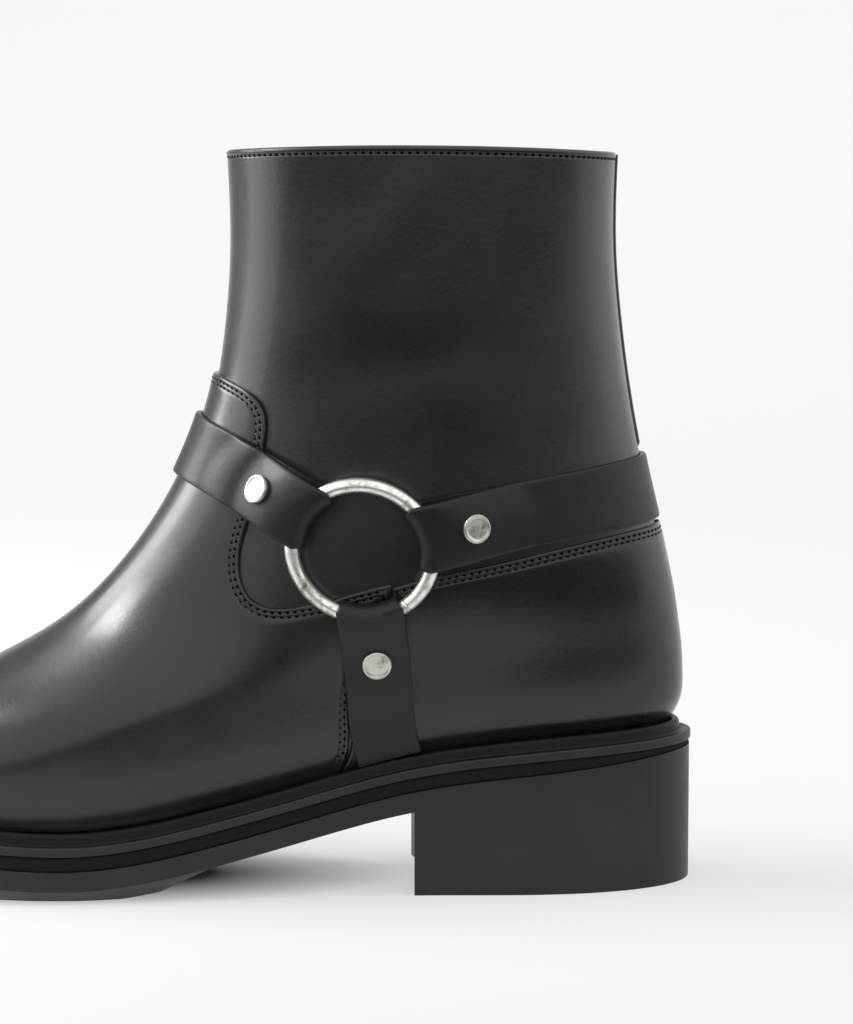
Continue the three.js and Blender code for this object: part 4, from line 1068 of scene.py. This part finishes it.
vamp_line = np.vstack([foot_of(vamp_back)[::-1], vamp_top[::-1]])
outer_edge, inner_edge = both_sides(vamp_line)
outer_edge = outer_edge[outer_edge[:, 0] > LOW_LEVEL]
inner_edge = inner_edge[inner_edge[:, 0] > LOW_LEVEL]
outer_edge = outer_edge[outer_edge[:, 1] > FRONT_ANGLE]
inner_edge = inner_edge[inner_edge[:, 1] < -FRONT_ANGLE]
front_tip = np.array([[outer_edge[-1, 0], 0.0]])
bottom = edge_of_level(LOW_LEVEL, inner_edge[0, 1], outer_edge[0, 1], 120)
vamp_outline = np.vstack([outer_edge, front_tip, inner_edge[::-1], bottom[1:-1]])
vamp_edge_line = patch("vamp_fine", vamp_outline, VAMP_THICKNESS, vamp_leather, ("vamp",))

# Counter outline: along its top from the front tab round the heel, and down to the welt
counter_top = smooth_line(side_points(COUNTER_EDGE))
counter_front = foot_of(vamp_back + np.array([0.9, 0.0]))[::-1]
counter_line = np.vstack([counter_front, counter_top[:-1]])
counter_line = counter_line[counter_line[:, 0] < 137.5]
outer_edge, inner_edge = both_sides(counter_line)
inner_edge = inner_edge + np.array([0.0, 2 * math.pi])
outer_edge = outer_edge[outer_edge[:, 0] > LOW_LEVEL]
inner_edge = inner_edge[inner_edge[:, 0] > LOW_LEVEL]
bottom = edge_of_level(LOW_LEVEL, inner_edge[0, 1], outer_edge[0, 1], 90)
counter_outline = np.vstack([outer_edge, inner_edge[::-1], bottom[1:-1]])
counter_edge_line = patch("counter_fine", counter_outline, COUNTER_THICKNESS, counter_leather, ("counter",))


# Stitches: short rounded threads along a line of levels and angles, with a near-black disc between each two
# as painted shade of a needle hole
hole_shade_points = []
hole_shade_faces = []
STITCH_PITCH = 2.45
STITCH_LENGTH = 1.6
STITCH_WIDTH = 0.62
STITCH_DIP = 0.22
STITCH_RISE = 0.12
HOLE_LONG = 0.56
HOLE_WIDE = 0.46
HOLE_RISE = 0.07


def needle_hole_shades(line, run, spots, height):
    level = np.interp(spots, run, line[:, 0])
    angle = np.interp(spots, run, line[:, 1])
    next_level = np.interp(spots + 0.4, run, line[:, 0])
    next_angle = np.interp(spots + 0.4, run, line[:, 1])
    ahead = upper_point(next_level, next_angle, height)
    middle = upper_point(level, angle, height)
    normal = upper_normal(level, angle)
    for spot in range(len(spots)):
        way = ahead[spot] - middle[spot]
        way = way / np.linalg.norm(way)
        side = np.cross(normal[spot], way)
        first = len(hole_shade_points)
        for k in range(10):
            turn = 2 * math.pi * k / 10
            out = way * math.cos(turn) * HOLE_LONG + side * math.sin(turn) * HOLE_WIDE
            hole_shade_points.append(middle[spot] + out)
        hole_shade_faces.append(tuple(range(first, first + 10)))


def stitches(name, lines, height, face_height):
    points, faces = [], []
    rounds = 6
    stations = ((-1.0, 0.25), (-0.72, 0.85), (0.0, 1.0), (0.72, 0.85), (1.0, 0.25))
    for line in lines:
        place = upper_face(line[:, 0], line[:, 1])
        run = np.concatenate([[0], np.cumsum(np.linalg.norm(np.diff(place, axis=0), axis=1))])
        spots = np.arange(STITCH_PITCH / 2, run[-1] - STITCH_PITCH / 2, STITCH_PITCH)
        if len(spots) < 1:
            continue
        needle_hole_shades(line, run, spots[:-1] + STITCH_PITCH / 2, face_height + HOLE_RISE)
        ends = []
        for shift in (-0.4, 0.4):
            level = np.interp(spots + shift, run, line[:, 0])
            angle = np.interp(spots + shift, run, line[:, 1])
            ends.append((level, angle))
        level = (ends[0][0] + ends[1][0]) / 2
        angle = (ends[0][1] + ends[1][1]) / 2
        middle = upper_point(level, angle, height)
        normal = upper_normal(level, angle)
        way = upper_point(*ends[1], height) - upper_point(*ends[0], height)
        way = way / np.linalg.norm(way, axis=1, keepdims=True)
        side = np.cross(normal, way)
        for spot in range(len(spots)):
            first = len(points)
            for along, size in stations:
                for k in range(rounds):
                    turn = 2 * math.pi * k / rounds
                    out = side[spot] * math.cos(turn) + normal[spot] * math.sin(turn)
                    dip = normal[spot] * (-STITCH_DIP * along * along)
                    there = middle[spot] + way[spot] * along * STITCH_LENGTH / 2
                    points.append(there + out * STITCH_WIDTH / 2 * size + dip)
            faces += grid_faces(len(stations), rounds, around=True, first=first)
            faces.append(tuple(first + k for k in reversed(range(rounds))))
            last = first + (len(stations) - 1) * rounds
            faces.append(tuple(last + k for k in range(rounds)))
    return make(name, points, turned_out(points, faces), thread, slot="upper_leather")


def stitch_lines(edge, inset, lowest):
    line = inset_line(edge, inset)
    tree = kdtree.KDTree(len(edge))
    for i, point in enumerate(upper_face(edge[:, 0], edge[:, 1])):
        tree.insert(point, i)
    tree.balance()
    near = np.array([tree.find(point)[2] for point in upper_face(line[:, 0], line[:, 1])])
    keep = (near > inset * 0.93) & (line[:, 0] > lowest)
    lines, current = [], []
    first = int(np.argmin(keep))
    for i in np.roll(np.arange(len(line)), -first):
        if keep[i]:
            current.append(line[i])
        elif current:
            lines.append(np.array(current))
            current = []
    if current:
        lines.append(np.array(current))
    return [run for run in lines if len(run) > 6]


def counter_top_only(lines):
    tops = []
    for line in lines:
        place = upper_face(line[:, 0], line[:, 1])
        step = np.abs(np.gradient(place, axis=0))
        slope = step[:, 2] / (step[:, 0] + step[:, 1])
        part = line[(slope < 0.9) & (place[:, 2] > 90)]
        if len(part) > 6:
            tops.append(part)
    return tops


for row, inset in enumerate(STITCH_INSETS):
    lines = stitch_lines(vamp_edge_line, inset, 0.05)
    top = GAP + VAMP_THICKNESS
    stitches(f"vamp_stitches_{row + 1}", lines, top - CHANNEL_DEPTH + STITCH_RISE, top)
    lines = counter_top_only(stitch_lines(counter_edge_line, inset, 0.05))
    top = GAP + COUNTER_THICKNESS
    stitches(f"counter_stitches_{row + 1}", lines, top - CHANNEL_DEPTH + STITCH_RISE, top)
top_angles = warped_angles(1 - TOP_STITCH_DROP / TOP_RISE)
top_angles = np.concatenate([top_angles[SLOT_TO + 3:], top_angles[:SLOT_FROM - 3] + 2 * math.pi])
top_line = np.column_stack([np.full(len(top_angles), 1 - TOP_STITCH_DROP / TOP_RISE), top_angles])
stitches("topline_stitches", [top_line], STITCH_RISE - CHANNEL_DEPTH, 0)
make("needle_hole_shades", hole_shade_points, hole_shade_faces, needle_hole_shade, slot="upper_leather")


# Harness ring: bent wire in a leaning plane over the upper's outer side
RING_X = place_along(RING_FROM_HEEL / SOLE_LENGTH)
LEAST_FACING = 0.3
WIRE = WIRE_DIAMETER / 2
ring_level, ring_angle = find_on_upper(RING_X, RING_HEIGHT, True)
lean = math.radians(RING_LEAN)
plain_normal = upper_normal(ring_level, ring_angle)
ring_normal = np.array([
    plain_normal[0],
    plain_normal[1] * math.cos(lean) - plain_normal[2] * math.sin(lean),
    plain_normal[1] * math.sin(lean) + plain_normal[2] * math.cos(lean),
])
ring_centre = upper_face(ring_level, ring_angle) + plain_normal * (STRAP_FLOOR + FOLD_RADIUS)
ring_right = np.array([1, 0, 0]) - ring_normal * ring_normal[0]
ring_right = ring_right / np.linalg.norm(ring_right)
ring_up = np.cross(ring_normal, ring_right)
spin = math.radians(-RING_TURN)
ring_long = ring_right * math.cos(spin) + ring_up * math.sin(spin)
ring_short = np.cross(ring_normal, ring_long)
WIRE_JOINT = math.radians(-26)


def ring_loops():
    loops = []
    turns = np.linspace(0, 2 * math.pi, 240, endpoint=False)
    near_joint = WIRE_JOINT + np.array([-0.020, -0.012, -0.006, 0, 0.006, 0.012, 0.020])
    turns = np.sort(np.concatenate([turns, near_joint % (2 * math.pi)]))
    joint = WIRE_JOINT % (2 * math.pi)
    for turn in turns:
        along = ring_long * math.cos(turn) * RING_LONG / 2
        middle = ring_centre + along + ring_short * math.sin(turn) * RING_SHORT / 2
        way = ring_long * math.cos(turn) * RING_SHORT + ring_short * math.sin(turn) * RING_LONG
        way = way / np.linalg.norm(way)
        radius = WIRE - 0.30 * math.exp(-((turn - joint) / 0.008) ** 2)
        rounds = 2 * math.pi * np.arange(28) / 28
        loops.append([middle + radius * (way * math.cos(r) + ring_normal * math.sin(r)) for r in rounds])
    return loops


link("harness_ring_fine", ring_loops(), nickel, swaps=("harness_ring",))


# Straps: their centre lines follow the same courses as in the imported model
def course_height(course, direction, x):
    reach = direction * (x - RING_X)
    return RING_HEIGHT + course[0] * reach + course[1] * reach ** 2


def turn_reach(course, direction):
    end = 0 if direction < 0 else math.pi
    reach = 0
    for level in np.arange(0.3, 0.9, 0.002):
        edge = upper_face(level, end)
        if edge[2] > course_height(course, direction, edge[0]):
            break
        reach = direction * (edge[0] - RING_X)
    return reach


def inner_height(course, direction, x):
    turn = turn_reach(course, direction)
    start = RING_HEIGHT + course[0] * turn + course[1] * turn ** 2
    slope = course[0] + 2 * course[1] * turn
    run = turn - direction * (ZIP_X - RING_X)
    bend = (STRAP_MEET_HEIGHT - start + slope * run) / run ** 2
    back = turn - direction * (x - RING_X)
    return start - slope * back + bend * back ** 2


def round_centre(course, direction):
    if direction < 0:
        angles = np.linspace(ring_angle, -math.pi + 0.2, 500)
        inner = angles < 0
    else:
        angles = np.linspace(ring_angle, 2 * math.pi - 0.2, 500)
        inner = angles > math.pi
    low = np.full(angles.shape, 0.2)
    high = np.full(angles.shape, 0.9)
    for _ in range(30):
        level = (low + high) / 2
        place = upper_face(level, angles)
        outer_z = course_height(course, direction, place[:, 0])
        inner_z = inner_height(course, direction, place[:, 0])
        below = place[:, 2] < np.where(inner, inner_z, outer_z)
        low = np.where(below, level, low)
        high = np.where(below, high, level)
    place = upper_face(level, angles)
    reach = direction * (place[:, 0] - RING_X)
    zip_edge = direction * (ZIP_X - RING_X) + STRAP_ZIP_GAP + ZIP_SLOT_WIDTH / 2
    keep = ~inner | (reach > zip_edge)
    return np.column_stack([level, angles])[keep]


def lower_centre(course):
    reach = np.linspace(0, 92, 180)
    x = RING_X + course[0] * reach + course[1] * reach ** 2
    z = RING_HEIGHT - reach
    keep = z - STRAP_WIDTH / 2 * abs(course[0]) > seat_height(x) + GAP
    level, angle = find_on_upper(x[keep], z[keep], True)
    return np.column_stack([level, angle])


ACROSS = (0, 1.3, 2.6, 3.9, 5.2, 6.5, 7.8, 9.0, 9.8, 10.3, 10.6, STRAP_WIDTH / 2)
ACROSS_DROP = (0, 0, 0, 0, 0, 0, 0, 0, 0.03, 0.10, 0.26, 0.55)


def ribbon(centre):
    line = resampled(centre, 0.8, False)
    place = upper_face(line[:, 0], line[:, 1])
    way = np.gradient(place, axis=0)
    way = way / np.linalg.norm(way, axis=1, keepdims=True)
    sideways = np.cross(upper_normal(line[:, 0], line[:, 1]), way)
    columns_made = {0: line}
    for side in (-1, 1):
        level, angle = line[:, 0], line[:, 1]
        for k in range(1, len(ACROSS)):
            normal = upper_normal(level, angle)
            flat = sideways - normal * (normal * sideways).sum(-1, keepdims=True)
            flat = flat / np.linalg.norm(flat, axis=1, keepdims=True)
            level, angle = moved(level, angle, flat * side, ACROSS[k] - ACROSS[k - 1])
            columns_made[side * k] = np.column_stack([level, angle])
    order = sorted(columns_made)
    drops = [ACROSS_DROP[abs(k)] for k in order]
    return [columns_made[k] for k in order], drops


def ring_plane(level, angle):
    base = upper_face(level, angle)
    normal = upper_normal(level, angle)
    facing = (normal * ring_normal).sum(-1)
    height = ((ring_centre - base) * ring_normal).sum(-1)
    away = ring_centre - base - height[..., None] * ring_normal
    return base, normal, facing, height, np.linalg.norm(away, axis=-1)


def strap_point(level, angle, far, fold, fade):
    base, normal, facing, height, across = ring_plane(level, angle)
    seen = np.clip(facing, LEAST_FACING, None)
    away = np.clip((across - RING_SHORT / 2) / fade, 0, 1)
    weight = np.where(facing > LEAST_FACING, (1 - away ** 2) ** 2, 0)
    plain = base + normal * far[..., None]
    near = base + normal * (height / seen)[..., None] + ring_normal * fold
    near = np.where(((height + fold) / seen > far)[..., None], near, plain)
    return mix(plain, near, weight[..., None])


UNDER_RUN = 24.4
LAP_FALL = 12.0


def strap(name, centre, fade, floor):
    lines, drops = ribbon(centre)
    outer_rows = []
    for line, drop in zip(lines, drops):
        place = upper_face(line[:, 0], line[:, 1])
        run = np.concatenate([[0], np.cumsum(np.linalg.norm(np.diff(place, axis=0), axis=1))])
        base, normal, facing, height, _ = ring_plane(line[:, 0], line[:, 1])
        flat = base + normal * (height / np.clip(facing, LEAST_FACING, None))[:, None] - ring_centre
        size = np.hypot(flat @ ring_long / (RING_LONG / 2), flat @ ring_short / (RING_SHORT / 2))
        past = int(np.argmax((size > 1) & (run > 5)))
        start = np.interp(1, size[past - 1:past + 1], run[past - 1:past + 1])
        spots = np.concatenate([np.arange(0, 40, 0.8), np.linspace(40, 200, 130)])
        spots = start + spots[spots < run[-1] - start - 0.4]
        outer_rows.append((line, run, start, spots, drop))
    wide = min(len(row[3]) for row in outer_rows)
    outer_rows = [(line, run, start, np.append(spots[:wide - 1], run[-1]), drop)
                  for line, run, start, spots, drop in outer_rows]
    outer_points, inner_points = [], []
    for line, run, start, spots, drop in outer_rows:
        level = np.interp(spots, run, line[:, 0])
        angle = np.interp(spots, run, line[:, 1])
        ground = floor(upper_face(level, angle)[:, 0])
        lap = STRAP_THICKNESS * (1 - ease((spots - start - UNDER_RUN) / LAP_FALL))
        under = spots - start < UNDER_RUN
        thick = STRAP_THICKNESS
        top = strap_point(level, angle, ground + lap + thick - drop, FOLD_RADIUS - drop, fade)
        soffit = strap_point(level, angle, ground + lap + 0.02, FOLD_RADIUS - thick, fade)
        low_level, low_angle, low = level[under], angle[under], ground[under]
        lower = strap_point(low_level, low_angle, low, drop - FOLD_RADIUS, fade)
        lower_top = strap_point(low_level, low_angle, low + thick - 0.02, thick - FOLD_RADIUS, fade)
        middle = (top[0] + lower[0]) / 2
        spoke = middle - ring_centre
        spoke = spoke - ring_normal * (spoke @ ring_normal)
        a, b = spoke @ ring_long, spoke @ ring_short
        inward = -(ring_long * a / RING_LONG ** 2 + ring_short * b / RING_SHORT ** 2)
        inward = inward / np.linalg.norm(inward)
        bends = np.linspace(0, math.pi, 13)[1:-1]

        def fold(radius):
            return [middle + radius * (inward * math.sin(t) + ring_normal * math.cos(t)) for t in bends]

        outer_points.append([*top[::-1], *fold(FOLD_RADIUS - drop), *lower])
        inner_points.append([*soffit[::-1], *fold(FOLD_RADIUS - thick), *lower_top])
    outer_points = np.array(outer_points)
    inner_points = np.array(inner_points)
    rows, wide = outer_points.shape[:2]
    faces = grid_faces(rows, wide)
    faces += [tuple(reversed(face)) for face in grid_faces(rows, wide, first=rows * wide)]
    back = rows * wide
    for i in range(wide - 1):
        faces.append((i, back + i, back + i + 1, i + 1))
        last = (rows - 1) * wide + i
        faces.append((last, last + 1, back + last + 1, back + last))
    for j in range(rows - 1):
        a, b = j * wide, (j + 1) * wide
        faces.append((a, b, back + b, back + a))
        a, b = a + wide - 1, b + wide - 1
        faces.append((a, back + a, back + b, b))
    points = np.concatenate([outer_points.reshape(-1, 3), inner_points.reshape(-1, 3)])
    make(f"{name}_fine", points, turned_out(points, faces), strap_leather, swaps=(name,), sharp=50)


RIVET_PROFILE = (
    (0.00, 0.86), (0.30, 0.85), (0.60, 0.81), (0.70, 0.80), (0.76, 0.86), (0.82, 0.96), (0.88, 1.00),
    (0.94, 0.96), (0.99, 0.80), (1.00, 0.55), (1.00, 0.10), (0.97, -0.20),
)


def rivet(name, centre, fade, floor):
    place = upper_face(centre[:, 0], centre[:, 1])
    side_run = np.linalg.norm(place[:, (0, 2)] - np.array([RING_X, RING_HEIGHT]), axis=1)
    side_run[np.sin(centre[:, 1]) < 0] = SOLE_LENGTH
    spot = int(np.argmin(np.abs(side_run - RIVET_REACH)))
    step = 0.012

    def face(level, angle):
        level, angle = np.array([level]), np.array([angle])
        far = floor(upper_face(level, angle)[:, 0]) + 2 * STRAP_THICKNESS
        return strap_point(level, angle, far, FOLD_RADIUS, fade)[0]

    level, angle = centre[spot]
    across = face(level, angle + step) - face(level, angle - step)
    up = face(level + step, angle) - face(level - step, angle)
    normal = np.cross(across, up)
    normal = normal / np.linalg.norm(normal)
    side = np.cross(np.array([0, 0, 1.0]), normal)
    side = side / np.linalg.norm(side)
    other = np.cross(normal, side)
    middle = face(level, angle)
    loops = []
    for out, rise in RIVET_PROFILE:
        reach = max(out, 0.02) * RIVET_DIAMETER / 2
        turns = 2 * math.pi * np.arange(40) / 40
        ring = [middle + reach * (side * math.cos(t) + other * math.sin(t)) + normal * rise * RIVET_HEIGHT
                for t in turns]
        loops.append(ring)
    link(f"{name}_fine", loops, rivet_nickel_shaded, closed=False, caps=True, swaps=(name,))


def front_floor(x):
    return mix(STRAP_FLOOR + GAP, GAP, np.clip((x - STRAP_DROP_FROM) / STRAP_DROP_RUN, 0, 1))


def back_floor(x):
    return np.full(np.shape(x), GAP)


def lower_floor(x):
    return np.full(np.shape(x), STRAP_FLOOR)


for name, centre, fade, floor in (
    ("front", round_centre(FRONT_COURSE, -1), 21, front_floor),
    ("back", round_centre(BACK_COURSE, 1), 28, back_floor),
    ("lower", lower_centre(LOWER_COURSE), 16, lower_floor),
):
    strap(f"strap_{name}", centre, fade, floor)
    rivet(f"rivet_{name}", centre, fade, floor)


# Back seam: a narrow raised welt of leather with a line down its middle
def back_seam():
    levels = np.linspace(0.4, 0.9975, 220)
    levels = levels[upper_face(levels, np.full(levels.shape, math.pi))[:, 2] > SEAM_FOOT]
    half = math.asin(SEAM_WIDTH / SHAFT_WIDTH)
    shares = np.array([-1.0, -0.97, -0.85, -0.6, -0.3, -0.12, 0, 0.12, 0.3, 0.6, 0.85, 0.97, 1.0])
    rise = np.array([-0.2, 0.35, 0.62, 0.80, 0.86, 0.84, 0.66, 0.84, 0.86, 0.80, 0.62, 0.35, -0.2])
    rows = []
    for level in levels:
        fade = ease((upper_face(level, math.pi)[2] - SEAM_FOOT) / 2)
        angles = math.pi + half * shares
        rows.append(upper_point(np.full(shares.shape, level), angles, mix(-0.2, rise, max(fade, 0.02))))
    points = np.array(rows)
    make("back_seam_fine", points, turned_out(points, grid_faces(len(rows), len(shares))), shaft_leather,
         swaps=("back_seam",))


back_seam()


# Zip chain: teeth in turn from either side, over two narrow bands of tape
def zip_chain():
    points, faces = [], []
    pitch = 1.9
    heights = np.arange(ZIP_FOOT + 3.2, BOOT_HEIGHT - ZIP_TOP_DROP - 1, pitch / 2)
    for count, z in enumerate(heights):
        side = 1 if count % 2 else -1
        level, angle = find_on_upper(ZIP_X + side * 0.95, z, False)
        middle = upper_face(level, angle) + upper_normal(level, angle) * -1.15
        normal = upper_normal(level, angle)
        across, _ = tangents(level, angle)
        across = across / np.linalg.norm(across)
        up = np.cross(normal, across)
        first = len(points)
        for deep, grow in ((-0.75, 1.0), (0.5, 1.0), (0.75, 0.78)):
            for a, b in ((-1, -1), (1, -1), (1, 1), (-1, 1)):
                points.append(middle + across * a * 2.0 * grow + up * b * 0.42 * grow + normal * deep)
        faces += grid_faces(3, 4, around=True, first=first)
        faces.append(tuple(first + k for k in (3, 2, 1, 0)))
        faces.append(tuple(first + 8 + k for k in (0, 1, 2, 3)))
    make("zip_chain_fine", points, turned_out(points, faces), zip_metal, swaps=("zip_chain",), sharp=40)


zip_chain()


# Camera, lights and floor
PIXELS_TALL = 1024
FOCAL_PIXELS = 3202.5
CAMERA_PLACE = np.array([54.7, -1050, 235.8])
CAMERA_PITCH = 6.2

camera_data = bpy.data.cameras.new("camera")
camera_data.sensor_fit = "AUTO"
camera_data.sensor_width = 36
camera_data.lens = FOCAL_PIXELS / PIXELS_TALL * 36
camera_data.clip_start = 0.01
camera = bpy.data.objects.new("camera", camera_data)
bpy.context.scene.collection.objects.link(camera)
camera.location = Vector((CAMERA_PLACE + SHIFT) / 1000)
camera.rotation_euler = (math.radians(90 - CAMERA_PITCH), 0, 0)
bpy.context.scene.camera = camera


def area_light(name, place, aim, size, tall, power, roll=0):
    data = bpy.data.lights.new(name, "AREA")
    data.shape = "RECTANGLE"
    data.size = size
    data.size_y = tall
    data.energy = power
    light = bpy.data.objects.new(name, data)
    bpy.context.scene.collection.objects.link(light)
    light.location = place
    facing = (Vector(aim) - Vector(place)).to_track_quat("-Z", "Y")
    light.rotation_euler = (facing @ Quaternion((0, 0, 1), math.radians(roll))).to_euler()
    return light


area_light("left", (-1.15, -0.03, 0.55), (0, 0, 0.15), 0.92, 1.15, 5.2)
area_light("left_spot", (-1.04, -0.04, 0.94), (0, 0, 0.08), 0.50, 0.36, 10.5)
area_light("left_strip", (-1.09, 0.40, 0.61), (0, 0, 0.11), 0.42, 0.64, 7, roll=42)
area_light("right", (1.15, 0.30, 0.50), (0, 0, 0.15), 0.7, 1.0, 0.3)

# World: a wide bright sky over a dark ground, which the polished leather reflects
world = bpy.data.worlds.new("world")
world.use_nodes = True
tree = world.node_tree
split = tree.nodes.new("ShaderNodeSeparateXYZ")
tree.links.new(tree.nodes.new("ShaderNodeTexCoord").outputs["Generated"], split.inputs[0])
sky = tree.nodes.new("ShaderNodeMapRange")
sky.interpolation_type = "SMOOTHSTEP"
sky.inputs["From Min"].default_value = -0.13
sky.inputs["From Max"].default_value = 0.08
sky.inputs["To Min"].default_value = 0.17
sky.inputs["To Max"].default_value = 1.2
tree.links.new(split.outputs["Z"], sky.inputs["Value"])
tree.links.new(sky.outputs["Result"], tree.nodes["Background"].inputs["Strength"])
tree.nodes["Background"].inputs["Color"].default_value = (1, 1, 1, 1)
bpy.context.scene.world = world
bpy.context.scene.view_settings.view_transform = "Standard"

# Paper sweep: the floor and the wall behind it in one sheet, nearly white by itself
FLOOR_REACH = 4.0
SWEEP_START = 1.2
SWEEP_RADIUS = 1.0
WALL_TOP = 3.5
sweep = [(-FLOOR_REACH, 0.0), (SWEEP_START, 0.0)]
for turn in np.linspace(0, math.pi / 2, 25)[1:]:
    sweep.append((SWEEP_START + SWEEP_RADIUS * math.sin(turn), SWEEP_RADIUS * (1 - math.cos(turn))))
sweep.append((SWEEP_START + SWEEP_RADIUS, WALL_TOP))
floor_mesh = bpy.data.meshes.new("floor")
floor_points = [(side * FLOOR_REACH, y, z) for y, z in sweep for side in (-1, 1)]
floor_faces = [(2 * i, 2 * i + 1, 2 * i + 3, 2 * i + 2) for i in range(len(sweep) - 1)]
floor_mesh.from_pydata(floor_points, [], floor_faces)
floor_mesh.polygons.foreach_set("use_smooth", [True] * len(floor_faces))
floor_thing = bpy.data.objects.new("floor", floor_mesh)
bpy.context.scene.collection.objects.link(floor_thing)
floor_material = shader("floor_paper", (0.28, 0.28, 0.28), 0.95, specular=0.0)
nodes = Nodes(floor_material)
split = nodes.add("ShaderNodeSeparateXYZ", Vector=nodes.place)
lit = nodes.spread(split.outputs["Y"], -0.29, -0.20, 0.0, 1.0)
front_glow = nodes.spread(split.outputs["Y"], -0.19, -0.06, -0.05, 0.0)
glow = nodes.math("ADD", nodes.spread(split.outputs["Y"], 0.0, 2.2, 0.53, 0.595), front_glow)
nodes.link(nodes.colours(lit, ((0.0, (0.05, 0.05, 0.05)), (1.0, (0.28, 0.28, 0.28)))),
           nodes.surface.inputs["Base Color"])

# Less glow under the forefoot, where the sole shades the paper, and beside the wall's lit middle
SHADE_LONG = 0.075
SHADE_WIDE = 0.033
SHADE_AHEAD = 0.055
under = nodes.stretched((1 / SHADE_LONG, 1 / SHADE_WIDE, 1))
shade = nodes.add("ShaderNodeMapping", Vector=under)
shade.inputs["Location"].default_value = (SHADE_AHEAD / SHADE_LONG, 0, 0)
away = nodes.tree.nodes.new("ShaderNodeVectorMath")
away.operation = "LENGTH"
nodes.link(shade.outputs["Vector"], away.inputs[0])
open_floor = nodes.spread(away.outputs["Value"], 0.50, 1.38, 0.0, 1.0)
wall = nodes.spread(split.outputs["Y"], 0.8, 1.2, 0.0, 1.0)
beside = nodes.math("MULTIPLY", wall, nodes.spread(split.outputs["X"], -1.15, -0.70, 0.85, 0.0))
glow = nodes.math("MULTIPLY", nodes.math("MULTIPLY", glow, open_floor), nodes.math("SUBTRACT", 1.0, beside))
nodes.surface.inputs["Emission Color"].default_value = (1, 1, 1, 1)
nodes.link(nodes.math("MULTIPLY", glow, lit), nodes.surface.inputs["Emission Strength"])
floor_mesh.materials.append(floor_material)

for kept, material in (("zip_tape", tape_cloth), ("zip_slider", zip_metal), ("zip_pull_tab", zip_metal)):
    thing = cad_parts[kept]
    thing.data.materials.clear()
    thing.data.materials.append(material)

bpy.context.view_layer.update()
